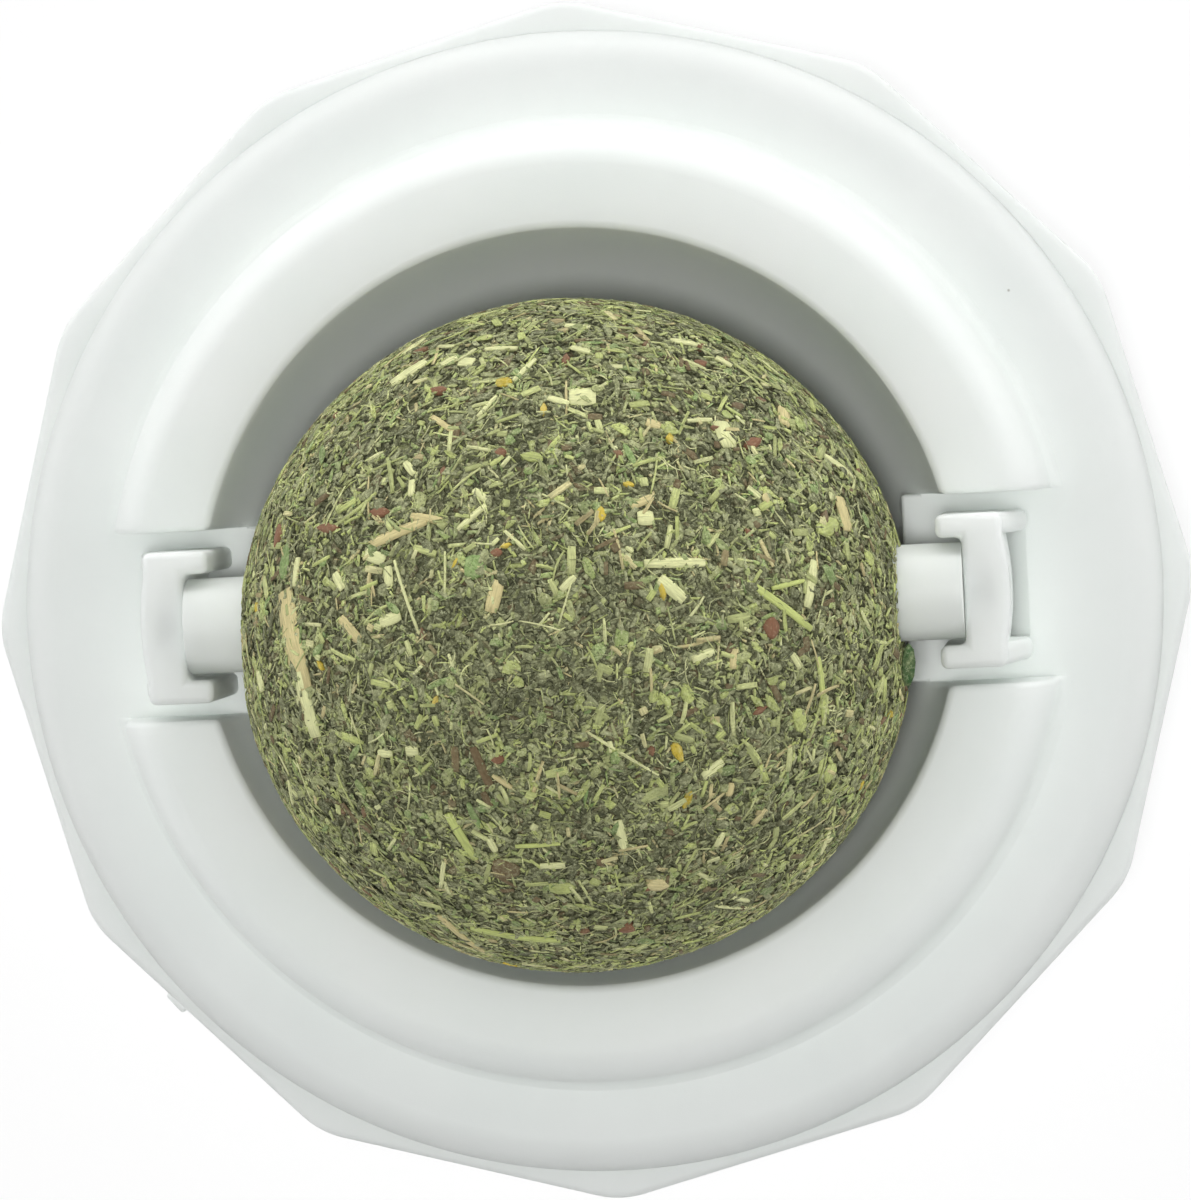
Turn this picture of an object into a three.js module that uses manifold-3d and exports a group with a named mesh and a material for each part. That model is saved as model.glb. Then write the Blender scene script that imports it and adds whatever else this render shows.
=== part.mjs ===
// Catnip ball that spins on an axle in a wall dish.
// Millimetres. X runs along the axle, Y up the wall, Z out of the wall. The origin is on the wall.
import * as THREE from 'three';
import { mergeVertices } from 'three/addons/utils/BufferGeometryUtils.js';
import Module from 'manifold-3d';

// Pressed ball and its axle
const BALL_RADIUS = 18.5;
const BALL_OFFSET = 1.45;
const BALL_POLE_FLAT = 0.7;
const CORE_GAP = 0.3;
const AXLE_DIAMETER = 5.25;
const AXLE_END_BEVEL = 0.3;
const AXLE_END_PLAY = 0.3;
const PIN_DIAMETER = 2.2;
const PIN_CLEARANCE = 0.3;
const PIN_RECESS = 0.4;
const FIN_COUNT = 4;
const FIN_HEIGHT = 2.2;
const FIN_THICKNESS = 1.2;
const FIN_LENGTH = 24;

// Bowl and raised ring
const BALL_CLEARANCE = 0.95;
const BOWL_WALL = 1.6;
const BORE_EDGE_BEVEL = 0.25;
const LAND_DROP = 1.2;
const LAND_WIDTH = 3.5;
const SHOULDER_WIDTH = 2.1;
const SHOULDER_HEIGHT = 3.2;
const RING_DRAFT = 0.2;
const RING_WALL = 1.6;

// Flat rim round the ring
const PLATE_THICKNESS = 1.8;
const RIM_REVEAL = 0.65;
const SPIGOT_DEPTH = 3.5;
const SPIGOT_WALL = 1.4;
const SPIGOT_CLEARANCE = 0.3;

// Notches and the clips that stand in them
const AXLE_RISE = 7.2;
const LEDGE_CLEARANCE = 0.7;
const NOTCH_SIDE_GAP = 1.05;
const NOTCH_END_WALL = 1.4;
const CLIP_SETBACK = 0.4;
const WEB_THICKNESS = 2.2;
const PRONG_RISE = 1.8;
const PRONG_REACH = 1.4;
const PRONG_THICKNESS = 1.25;
const PRONG_CLEARANCE = 0.3;
const GUSSET_REACH = 1.2;
const GUSSET_DROP = 1.0;
const GUSSET_TOE_RISE = 2.2;
const CLIP_EDGE_ROUND = 0.35;
const SLOT_WIDTH = 1.1;
const SLOT_DEPTH = 1.0;

// Twelve-sided base and its adhesive pad
const BASE_SIDES = 12;
const BASE_ACROSS_FLATS = 65.5;
const BASE_CORNER_RADIUS = 5;
const BASE_WALL = 1.6;
const BASE_FLOOR = 1.4;
const BASE_EDGE_BEVEL = 0.4;
const SEAM_GAP = 0.3;
const GATE_ANGLE = THREE.MathUtils.degToRad(221);
const GATE_WIDTH = 1.4;
const GATE_PROUD = 0.6;
const GATE_HEIGHT = 1.2;
const GATE_DROP = 1.5;
const PAD_DIAMETER = 46;
const PAD_THICKNESS = 1.0;

// Facet counts
const ROUND_STEPS = 60;
const BALL_RINGS = 28;
const BALL_STEPS = 48;
const PIN_STEPS = 24;
const ARC_STEPS = 4;
const EDGE_STEPS = 3;

// Places worked out from the driving dimensions
const RIGHT_ANGLE = Math.PI / 2;
const bowlRadius = BALL_RADIUS + BALL_OFFSET + BALL_CLEARANCE;
const baseBackZ = PAD_THICKNESS;
const baseFloorZ = baseBackZ + BASE_FLOOR;
const axisZ = baseFloorZ + SEAM_GAP + BOWL_WALL + bowlRadius;
const landZ = axisZ - LAND_DROP;
const rimZ = axisZ - AXLE_RISE;
const plateUnderZ = rimZ - PLATE_THICKNESS;
const baseRimZ = plateUnderZ - SEAM_GAP;
const clipTopZ = axisZ + PRONG_RISE;
const boreRadius = Math.sqrt(bowlRadius ** 2 - LAND_DROP ** 2);
const landRadius = boreRadius + LAND_WIDTH;
const ringRadius = landRadius + SHOULDER_WIDTH;
const ringFootRadius = ringRadius + RING_DRAFT;
const baseApothem = BASE_ACROSS_FLATS / 2;
const discRadius = baseApothem - RIM_REVEAL;
const spigotRadius = baseApothem - BASE_WALL - SPIGOT_CLEARANCE;
const webX = bowlRadius + CLIP_SETBACK;
const axleEndX = webX - AXLE_END_PLAY;
const pinEndX = webX + WEB_THICKNESS - PIN_RECESS;
const prongGap = AXLE_DIAMETER + 2 * PRONG_CLEARANCE;
const clipWidth = prongGap + 2 * PRONG_THICKNESS;
const notchWidth = clipWidth + 2 * NOTCH_SIDE_GAP;
const ledgeX = Math.sqrt(BALL_RADIUS ** 2 - (AXLE_RISE - BALL_OFFSET - LEDGE_CLEARANCE) ** 2);

const wasm = await Module();
wasm.setup();

// A closed geometry as a solid that can be joined and cut
function solid(geometry) {
  const bare = geometry.clone();
  bare.deleteAttribute('normal');
  bare.deleteAttribute('uv');
  const merged = mergeVertices(bare);
  const corners = merged.index.array;
  const triangles = [];
  for (let i = 0; i < corners.length; i += 3) {
    const [a, b, c] = corners.slice(i, i + 3);
    if (a !== b && b !== c && c !== a) {
      triangles.push(a, b, c);
    }
  }
  return new wasm.Manifold(new wasm.Mesh({
    numProp: 3,
    vertProperties: merged.attributes.position.array,
    triVerts: Uint32Array.from(triangles),
  }));
}

// A finished solid as a named mesh
function piece(name, body, material) {
  const mesh = body.getMesh();
  const geometry = new THREE.BufferGeometry();
  geometry.setAttribute('position', new THREE.BufferAttribute(mesh.vertProperties, 3));
  geometry.setIndex(new THREE.BufferAttribute(mesh.triVerts, 1));
  geometry.computeVertexNormals();
  const result = new THREE.Mesh(geometry, material);
  result.name = name;
  return result;
}

// A profile of radius and height, turned round Z
function turned(profile, steps) {
  return solid(new THREE.LatheGeometry(profile.getPoints(ARC_STEPS), steps).rotateX(RIGHT_ANGLE));
}

// A flat outline raised from one height to another, with its edges rounded by bevel
function raised(outline, fromZ, toZ, bevel) {
  const geometry = new THREE.ExtrudeGeometry(outline, {
    depth: toZ - fromZ - 2 * bevel,
    curveSegments: EDGE_STEPS,
    bevelEnabled: bevel > 0,
    bevelThickness: bevel,
    bevelSize: bevel,
    bevelOffset: -bevel,
    bevelSegments: EDGE_STEPS,
  });
  return geometry.translate(0, 0, fromZ + bevel);
}

// A block between two corners
function block(low, high) {
  const size = high.clone().sub(low);
  const middle = high.clone().add(low).multiplyScalar(0.5);
  return new THREE.BoxGeometry(size.x, size.y, size.z).translate(middle.x, middle.y, middle.z);
}

// A rod along X between two places on the axle's line
function rod(radius, fromX, toX) {
  const geometry = new THREE.CylinderGeometry(radius, radius, toX - fromX, PIN_STEPS);
  return geometry.rotateZ(-RIGHT_ANGLE).translate((fromX + toX) / 2, 0, axisZ);
}

// The same feature at both ends of the axle
function bothEnds(geometry) {
  return solid(geometry).add(solid(geometry.clone().rotateZ(Math.PI)));
}

// A polygon with rounded corners, one corner on the X axis
function roundedPolygon(apothem, cornerRadius) {
  const outline = new THREE.Shape();
  const halfStep = Math.PI / BASE_SIDES;
  const centreDistance = (apothem - cornerRadius) / Math.cos(halfStep);
  for (let i = 0; i < BASE_SIDES; i += 1) {
    const angle = 2 * i * halfStep;
    const x = centreDistance * Math.cos(angle);
    const y = centreDistance * Math.sin(angle);
    outline.absarc(x, y, cornerRadius, angle - halfStep, angle + halfStep, false);
  }
  outline.closePath();
  return outline;
}

// Front surface of the dish from the foot of the ring, over the land, to a height inside the bowl
function traceRingAndBowl(profile, bowlBottomZ) {
  profile.lineTo(ringFootRadius, rimZ);
  const shoulderZ = landZ - SHOULDER_HEIGHT;
  profile.lineTo(ringRadius, shoulderZ);
  profile.absellipse(landRadius, shoulderZ, SHOULDER_WIDTH, SHOULDER_HEIGHT, 0, RIGHT_ANGLE, false, 0);
  profile.lineTo(boreRadius + BORE_EDGE_BEVEL, landZ);
  const bevelFootAngle = -Math.asin((LAND_DROP + BORE_EDGE_BEVEL) / bowlRadius);
  const bottomAngle = -Math.asin((axisZ - bowlBottomZ) / bowlRadius);
  profile.absarc(0, axisZ, bowlRadius, bevelFootAngle, bottomAngle, true);
}

// Thin wall of the whole dish: bowl, hollow ring, flat rim and locating spigot
function dishWall() {
  const outerRadius = bowlRadius + BOWL_WALL;
  const ringUnderZ = landZ - PLATE_THICKNESS;
  const profile = new THREE.Path();
  profile.moveTo(0, axisZ - outerRadius);
  profile.absarc(0, axisZ, outerRadius, -RIGHT_ANGLE, -Math.asin((axisZ - ringUnderZ) / outerRadius), false);
  profile.lineTo(ringRadius - RING_WALL, ringUnderZ);
  profile.lineTo(ringRadius - RING_WALL, plateUnderZ);
  profile.lineTo(spigotRadius - SPIGOT_WALL, plateUnderZ);
  profile.lineTo(spigotRadius - SPIGOT_WALL, plateUnderZ - SPIGOT_DEPTH);
  profile.lineTo(spigotRadius, plateUnderZ - SPIGOT_DEPTH);
  profile.lineTo(spigotRadius, plateUnderZ);
  profile.lineTo(discRadius, plateUnderZ);
  profile.absarc(discRadius - PLATE_THICKNESS, plateUnderZ, PLATE_THICKNESS, 0, RIGHT_ANGLE, false);
  traceRingAndBowl(profile, axisZ - bowlRadius);
  return turned(profile, ROUND_STEPS);
}

// Solid fill of the ring where a notch is cut, so that the notch has a floor and end walls
function notchFill() {
  const profile = new THREE.Path();
  const floorRadius = Math.sqrt(bowlRadius ** 2 - (axisZ - plateUnderZ) ** 2);
  profile.moveTo(floorRadius, plateUnderZ);
  profile.lineTo(ringFootRadius, plateUnderZ);
  traceRingAndBowl(profile, plateUnderZ);
  profile.closePath();
  const halfWidth = notchWidth / 2 + NOTCH_END_WALL;
  const span = block(
    new THREE.Vector3(-ringFootRadius, -halfWidth, plateUnderZ),
    new THREE.Vector3(ringFootRadius, halfWidth, landZ),
  );
  return turned(profile, ROUND_STEPS).intersect(solid(span));
}

// Flat ledge that runs on from the notch floor into the bowl, clear of the turning ball
function ledges() {
  const ledge = block(
    new THREE.Vector3(ledgeX, -notchWidth / 2, axisZ - bowlRadius),
    new THREE.Vector3(bowlRadius, notchWidth / 2, rimZ),
  );
  const buriedRadius = bowlRadius + BOWL_WALL / 2;
  const limit = new THREE.SphereGeometry(buriedRadius, ROUND_STEPS, BALL_RINGS).translate(0, 0, axisZ);
  return bothEnds(ledge).intersect(solid(limit));
}

// Opening of a notch through the ring, over its floor
function notches() {
  return solid(block(
    new THREE.Vector3(-discRadius, -notchWidth / 2, rimZ),
    new THREE.Vector3(discRadius, notchWidth / 2, axisZ),
  ));
}

// Outline of a clip seen from the front: a web with a prong on each side of the axle
function clipOutline() {
  const outline = new THREE.Shape();
  const backX = webX + WEB_THICKNESS;
  const tipX = webX - PRONG_REACH;
  outline.moveTo(backX, -clipWidth / 2);
  outline.lineTo(backX, clipWidth / 2);
  outline.lineTo(tipX, clipWidth / 2);
  outline.lineTo(tipX, prongGap / 2);
  outline.lineTo(webX, prongGap / 2);
  outline.lineTo(webX, -prongGap / 2);
  outline.lineTo(tipX, -prongGap / 2);
  outline.lineTo(tipX, -clipWidth / 2);
  outline.closePath();
  return outline;
}

// Sloping gusset behind one prong, its outline drawn in height against distance along the axle
function gusset(nearY, rootZ) {
  const outline = new THREE.Shape();
  const backX = webX + WEB_THICKNESS;
  const topZ = clipTopZ - GUSSET_DROP;
  outline.moveTo(backX - WEB_THICKNESS / 2, rootZ);
  outline.lineTo(backX + GUSSET_REACH, rootZ);
  outline.lineTo(backX + GUSSET_REACH, rimZ + GUSSET_TOE_RISE);
  outline.lineTo(backX, topZ);
  outline.lineTo(backX - WEB_THICKNESS / 2, topZ);
  outline.closePath();
  const farY = nearY + PRONG_THICKNESS;
  return raised(outline, -farY, -nearY, CLIP_EDGE_ROUND).rotateX(RIGHT_ANGLE);
}

// Both clips, rooted in the floor of their notches, with a hole for the axle's pin
function clips() {
  const rootZ = rimZ - PLATE_THICKNESS / 2;
  const pinHole = rod(PIN_DIAMETER / 2 + PIN_CLEARANCE, webX - PRONG_REACH, webX + 2 * WEB_THICKNESS);
  let result = bothEnds(raised(clipOutline(), rootZ, clipTopZ, CLIP_EDGE_ROUND));
  for (const nearY of [-clipWidth / 2, prongGap / 2]) {
    result = result.add(bothEnds(gusset(nearY, rootZ)));
  }
  return result.subtract(bothEnds(pinHole));
}

// Relief slot in the floor behind each web
function slots() {
  const backX = webX + WEB_THICKNESS;
  return bothEnds(block(
    new THREE.Vector3(backX, -prongGap / 2, rimZ - SLOT_DEPTH),
    new THREE.Vector3(backX + SLOT_WIDTH, prongGap / 2, landZ),
  ));
}

function frontDish() {
  return dishWall().add(notchFill()).subtract(notches()).add(ledges()).add(clips()).subtract(slots());
}

// Twelve-sided cup that carries the dish, with the stub of its moulding gate on one side
function facetedBase() {
  const outline = roundedPolygon(baseApothem, BASE_CORNER_RADIUS);
  const innerOutline = roundedPolygon(baseApothem - BASE_WALL, BASE_CORNER_RADIUS - BASE_WALL);
  const outer = solid(raised(outline, baseBackZ, baseRimZ, BASE_EDGE_BEVEL));
  const hollow = solid(raised(innerOutline, baseFloorZ, axisZ, 0));
  const gateTopZ = baseRimZ - GATE_DROP;
  const gate = block(
    new THREE.Vector3(baseApothem - BASE_WALL / 2, -GATE_WIDTH / 2, gateTopZ - GATE_HEIGHT),
    new THREE.Vector3(baseApothem + GATE_PROUD, GATE_WIDTH / 2, gateTopZ),
  ).rotateZ(GATE_ANGLE);
  return outer.subtract(hollow).add(solid(gate));
}

// Axle with a pin at each end and fins that key it into the herb, grown by a gap for the hole round it
function axleForm(gap) {
  const radius = AXLE_DIAMETER / 2 + gap;
  const pinRadius = PIN_DIAMETER / 2;
  const profile = new THREE.Path();
  profile.moveTo(0, -pinEndX);
  profile.lineTo(pinRadius, -pinEndX);
  profile.lineTo(pinRadius, -axleEndX);
  profile.lineTo(radius - AXLE_END_BEVEL, -axleEndX);
  profile.lineTo(radius, -axleEndX + AXLE_END_BEVEL);
  profile.lineTo(radius, axleEndX - AXLE_END_BEVEL);
  profile.lineTo(radius - AXLE_END_BEVEL, axleEndX);
  profile.lineTo(pinRadius, axleEndX);
  profile.lineTo(pinRadius, pinEndX);
  profile.lineTo(0, pinEndX);
  const shaft = new THREE.LatheGeometry(profile.getPoints(), PIN_STEPS);
  let form = solid(shaft.rotateZ(-RIGHT_ANGLE).translate(0, 0, axisZ));
  for (let i = 0; i < FIN_COUNT; i += 1) {
    const fin = block(
      new THREE.Vector3(-FIN_LENGTH / 2 - gap, -FIN_THICKNESS / 2 - gap, 0),
      new THREE.Vector3(FIN_LENGTH / 2 + gap, FIN_THICKNESS / 2 + gap, AXLE_DIAMETER / 2 + FIN_HEIGHT + gap),
    );
    form = form.add(solid(fin.rotateX((i * 2 * Math.PI) / FIN_COUNT).translate(0, 0, axisZ)));
  }
  return form;
}

// Ball pressed round the axle, hanging below its line, with a flat where each end of the axle comes out
function catnipBall() {
  const flatX = BALL_RADIUS - BALL_POLE_FLAT;
  const ball = new THREE.SphereGeometry(BALL_RADIUS, BALL_STEPS, BALL_RINGS).rotateZ(RIGHT_ANGLE);
  const between = block(
    new THREE.Vector3(-flatX, -BALL_RADIUS - BALL_OFFSET, axisZ - BALL_RADIUS),
    new THREE.Vector3(flatX, BALL_RADIUS, axisZ + BALL_RADIUS),
  );
  const round = solid(ball.translate(0, -BALL_OFFSET, axisZ));
  return round.intersect(solid(between)).subtract(axleForm(CORE_GAP));
}

function adhesivePad() {
  const disc = new THREE.CylinderGeometry(PAD_DIAMETER / 2, PAD_DIAMETER / 2, PAD_THICKNESS, ROUND_STEPS);
  return solid(disc.rotateX(RIGHT_ANGLE).translate(0, 0, PAD_THICKNESS / 2));
}

const whitePlastic = new THREE.MeshStandardMaterial({ color: '#e3e8e5', roughness: 0.42, metalness: 0 });
const axlePlastic = new THREE.MeshStandardMaterial({ color: '#dfe5e0', roughness: 0.38, metalness: 0 });
const pressedHerb = new THREE.MeshStandardMaterial({ color: '#656b46', roughness: 0.95, metalness: 0 });
const foamTape = new THREE.MeshStandardMaterial({ color: '#e9e9e4', roughness: 0.9, metalness: 0 });

const holder = new THREE.Group();
holder.add(piece('front_dish', frontDish(), whitePlastic));
holder.add(piece('faceted_base', facetedBase(), whitePlastic));
holder.add(piece('adhesive_pad', adhesivePad(), foamTape));

const spinner = new THREE.Group();
spinner.add(piece('ball_axle', axleForm(0), axlePlastic));
spinner.add(piece('catnip_ball', catnipBall(), pressedHerb));

const catnipToy = new THREE.Group();
catnipToy.add(holder, spinner);

export default catnipToy;
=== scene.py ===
"""Catnip ball that spins on an axle in a wall dish: its finished surfaces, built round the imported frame.

Metres. X runs along the axle, Y up the wall and Z out of the wall, as in the frame.
"""

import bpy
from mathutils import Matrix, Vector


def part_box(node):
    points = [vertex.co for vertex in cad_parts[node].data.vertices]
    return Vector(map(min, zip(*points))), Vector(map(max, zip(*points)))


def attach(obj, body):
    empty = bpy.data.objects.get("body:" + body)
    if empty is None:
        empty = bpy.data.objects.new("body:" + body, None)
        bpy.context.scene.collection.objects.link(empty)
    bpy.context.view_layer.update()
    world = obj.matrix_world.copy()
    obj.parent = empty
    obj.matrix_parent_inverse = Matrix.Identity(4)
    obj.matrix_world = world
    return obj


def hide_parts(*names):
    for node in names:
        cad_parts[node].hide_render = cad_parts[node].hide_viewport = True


bl_info = {
    "name": "Catnip Ball Wall Toy",
    "version": (1, 0, 0),
    "blender": (4, 5, 0),
    "location": "View3D > Sidebar > Catnip",
    "description": "Builds a pressed catnip ball with its axle, moulded dish, faceted base and foam pad",
    "category": "Object",
}

import math
from collections import namedtuple

import bpy
import numpy as np
from mathutils import Matrix, Vector

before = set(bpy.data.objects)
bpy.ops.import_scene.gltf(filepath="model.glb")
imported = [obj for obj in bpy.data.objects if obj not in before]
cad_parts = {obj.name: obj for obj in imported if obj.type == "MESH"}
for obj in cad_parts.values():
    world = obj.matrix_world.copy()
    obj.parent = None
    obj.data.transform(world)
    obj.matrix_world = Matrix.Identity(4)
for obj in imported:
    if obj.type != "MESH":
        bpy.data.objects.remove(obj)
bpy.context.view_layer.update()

MM = 0.001
MERGE_DISTANCE = 0.001 * MM
HALF_TURN = Matrix.Rotation(math.pi, 4, "Z")
SHARP_EDGE = math.radians(35)  # from this angle on, an edge of the plastic stays sharp
CRUMB_EDGE = math.radians(50)  # and from this one on, an edge of the ball's core
ROD_STEPS = 72  # facets round the axle and round its hole in the core
PIN_HOLE_STEPS = 40

# Places that the frame gives
DISH_LOW, DISH_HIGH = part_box("front_dish")
BASE_LOW, BASE_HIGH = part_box("faceted_base")
PAD_LOW, PAD_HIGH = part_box("adhesive_pad")
AXLE_LOW, AXLE_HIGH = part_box("ball_axle")
BALL_LOW, BALL_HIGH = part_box("catnip_ball")
AXIS_Z = (AXLE_LOW.z + AXLE_HIGH.z) / 2
BALL_CENTRE = (BALL_LOW + BALL_HIGH) / 2
BALL_RADIUS = (BALL_HIGH.z - BALL_LOW.z) / 2
BALL_FLAT_X = BALL_HIGH.x

# Photograph's frame, in pixels
PHOTO_WIDTH = 1191
PHOTO_HEIGHT = 1200
SENSOR_WIDTH = 36


def linear(value):
    """A screen value from 0 to 255 as linear light."""
    share = value / 255
    return share / 12.92 if share <= 0.04045 else ((share + 0.055) / 1.055) ** 2.4


def length(label, description, millimetres):
    """A size, written in millimetres and held in metres."""
    return bpy.props.FloatProperty(
        name=label, description=description, default=millimetres * MM, unit="LENGTH", precision=5
    )


def number(label, description, value):
    """A plain number."""
    return bpy.props.FloatProperty(name=label, description=description, default=value, precision=4)


def angle(label, description, degrees):
    """An angle, written in degrees."""
    return bpy.props.FloatProperty(
        name=label, description=description, default=math.radians(degrees), subtype="ANGLE"
    )


def count(label, description, value):
    """A whole number."""
    return bpy.props.IntProperty(name=label, description=description, default=value, min=1)


def colour(label, description, red, green, blue):
    """A colour, written as a screen shows it and held as linear light."""
    return bpy.props.FloatVectorProperty(
        name=label,
        description=description,
        subtype="COLOR",
        size=3,
        min=0,
        max=1,
        default=[linear(value) for value in (red, green, blue)],
    )


class CatnipDishSizes(bpy.types.PropertyGroup):
    """Bowl, raised ring, flat rim, notches and clips of the front moulding."""

    bowl_wall: length("Bowl wall", "Thickness of the bowl", 1.6)
    land_drop: length("Land drop", "How far the ring's flat land lies under the axle's line", 1.2)
    land_width: length("Land width", "Width of the ring's flat land", 3.5)
    bore_edge: length("Bore edge", "Rounding between the bowl and the land", 0.45)
    shoulder_width: length("Shoulder width", "Width of the ring's rounded shoulder", 2.1)
    shoulder_height: length("Shoulder height", "Height of the ring's rounded shoulder", 3.2)
    ring_draft: length("Ring draft", "How far the ring widens towards its foot", 0.2)
    foot_fillet: length("Foot fillet", "Fillet between the ring and the flat rim", 0.8)
    axle_rise: length("Axle rise", "Height of the axle's line over the flat rim", 7.2)
    plate_thickness: length("Plate thickness", "Thickness of the flat rim and rounding of its edge", 2.05)
    spigot_radius: length("Spigot radius", "Outside of the collar that sits in the base", 30.85)
    spigot_wall: length("Spigot wall", "Thickness of that collar", 1.4)
    spigot_depth: length("Spigot depth", "Depth of that collar", 3.5)
    notch_width: length("Notch width", "Gap through the ring at each end of the axle", 10.45)
    notch_edge: length("Notch edge", "Rounding of the ring's cut ends", 0.35)
    ledge_start: length("Ledge start", "Distance from the middle to each ledge in the bowl", 17.8)
    ledge_edge: length("Ledge edge", "Rounding of a ledge's edges", 0.2)
    web_start: length("Web start", "Distance from the middle to each clip's web", 21.3)
    web_thickness: length("Web thickness", "Thickness of a clip's web", 2.2)
    web_bow: length("Web bow", "How far a web bows outwards in its middle", 0.28)
    prong_gap: length("Prong gap", "Gap between a clip's two prongs", 5.85)
    prong_reach: length("Prong reach", "How far a prong stands inwards of its web", 1.4)
    prong_thickness: length("Prong thickness", "Thickness of a prong", 1.25)
    clip_edge: length("Clip edge", "Rounding of a clip's edges", 0.4)
    gusset_reach: length("Gusset reach", "How far a gusset stands outwards of its web", 1.2)
    gusset_drop: length("Gusset drop", "How far a gusset's top lies under the clip's top", 1.0)
    gusset_toe: length("Gusset toe", "Height of a gusset's outer edge over the rim", 2.2)
    slot_width: length("Slot width", "Width of the relief slot behind a web", 1.1)
    slot_depth: length("Slot depth", "Depth of that slot", 1.1)
    pin_hole: length("Pin hole", "Radius of the hole for the axle's pin", 1.2)
    round_steps: count("Round steps", "Facets round the dish", 192)


class CatnipBaseSizes(bpy.types.PropertyGroup):
    """Twelve-sided cup under the dish, and the foam pad that holds it to the wall."""

    sides: count("Sides", "Flat sides of the base", 12)
    across_flats: length("Across flats", "Width of the base between two opposite sides", 65.5)
    corner_radius: length("Corner radius", "Rounding of the upright corners", 5)
    wall: length("Wall", "Thickness of the side wall", 1.6)
    bore: length("Bore", "Radius of the round seat for the dish's collar", 31.1)
    bore_depth: length("Bore depth", "Depth of that seat", 3.2)
    floor: length("Floor", "Thickness of the back", 1.4)
    edge: length("Edge", "Rounding of the front and back edges", 0.4)
    gate_angle: angle("Gate angle", "Where the stub of the moulding gate is", 221)
    gate_width: length("Gate width", "Width of that stub", 1.4)
    gate_height: length("Gate height", "Height of that stub", 1.2)
    gate_proud: length("Gate proud", "How far that stub stands out", 0.6)
    gate_drop: length("Gate drop", "Distance of that stub from the front edge", 1.5)
    pad_edge: length("Pad edge", "Unevenness of the foam pad's cut edge", 0.12)


class CatnipAxleSizes(bpy.types.PropertyGroup):
    """White axle through the ball."""

    radius: length("Radius", "Radius of the rod", 2.625)
    pin_radius: length("Pin radius", "Radius of the pin at each end", 1.1)
    shoulder: length("Shoulder", "Distance from the middle to the rod's end", 21.28)
    bevel: length("Bevel", "Rounding of the rod's end", 0.06)
    fin_height: length("Fin height", "How far a fin stands out of the rod, inside the ball", 2.2)
    fin_thickness: length("Fin thickness", "Thickness of a fin", 1.2)
    fin_length: length("Fin length", "Length of a fin", 24)


class CatnipBallSizes(bpy.types.PropertyGroup):
    """Pressed herb: its core and the chopped leaf, stem, straw and seed in its surface."""

    core_depth: length("Core depth", "How far the core lies under the outermost flakes", 0.42)
    lump_height: length("Lump height", "Height of the core's lumps", 0.2)
    lump_size: length("Lump size", "Width of the core's lumps", 1.3)
    axle_gap: length("Axle gap", "Bare ring round the axle", 0.12)
    clump_size: length("Clump size", "Width of the patches where flakes have like tones", 3)
    flake_count: count("Flakes", "Number of small leaf flakes of the commonest tone", 16000)
    leaf_count: count("Leaf pieces", "Number of wider leaf pieces", 1700)
    fibre_count: count("Fibres", "Number of curled fibres", 5200)
    stem_count: count("Stems", "Number of thin stems", 1000)
    straw_count: count("Straw chips", "Number of pale straw chips", 1100)
    seed_count: count("Seeds", "Number of red-brown seeds", 120)
    seed: count("Seed", "Start of the random draws", 11)


class CatnipColours(bpy.types.PropertyGroup):
    """Colours of the finishes, and how light spreads in the white plastic."""

    dish: colour("Dish", "White plastic of the dish and base", 243, 248, 244)
    axle: colour("Axle", "White plastic of the axle", 238, 243, 238)
    foam: colour("Foam", "Foam pad", 232, 231, 224)
    dirt: colour("Dirt", "Specks on the plastic", 120, 112, 92)
    core: colour("Core", "Shaded herb between the flakes", 92, 93, 64)
    dust: colour("Dust", "Dry dust on the herb", 188, 191, 146)
    dark_leaf: colour("Dark leaf", "Darkest leaf flakes", 112, 115, 83)
    grey_leaf: colour("Grey leaf", "Grey-green leaf flakes", 164, 168, 124)
    green_leaf: colour("Green leaf", "Fresh green leaf flakes", 146, 174, 106)
    lime_leaf: colour("Lime leaf", "Yellow-green leaf flakes", 209, 220, 134)
    straw: colour("Straw", "Pale straw and pith", 240, 242, 180)
    wood: colour("Wood", "Tan woody stems", 228, 214, 156)
    bark: colour("Bark", "Brown husks", 118, 98, 70)
    seed: colour("Seed", "Red-brown seeds", 134, 88, 60)
    petal: colour("Petal", "Yellow petals", 222, 196, 70)
    deep_leaf: colour("Deep leaf", "Dark green leaf", 52, 94, 46)
    olive_leaf: colour("Olive leaf", "Olive leaf", 190, 197, 132)
    scatter: number("Scatter", "Share of the light that spreads inside the white plastic", 0.5)
    scatter_depth: length("Scatter depth", "How far that light spreads", 5)


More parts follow.
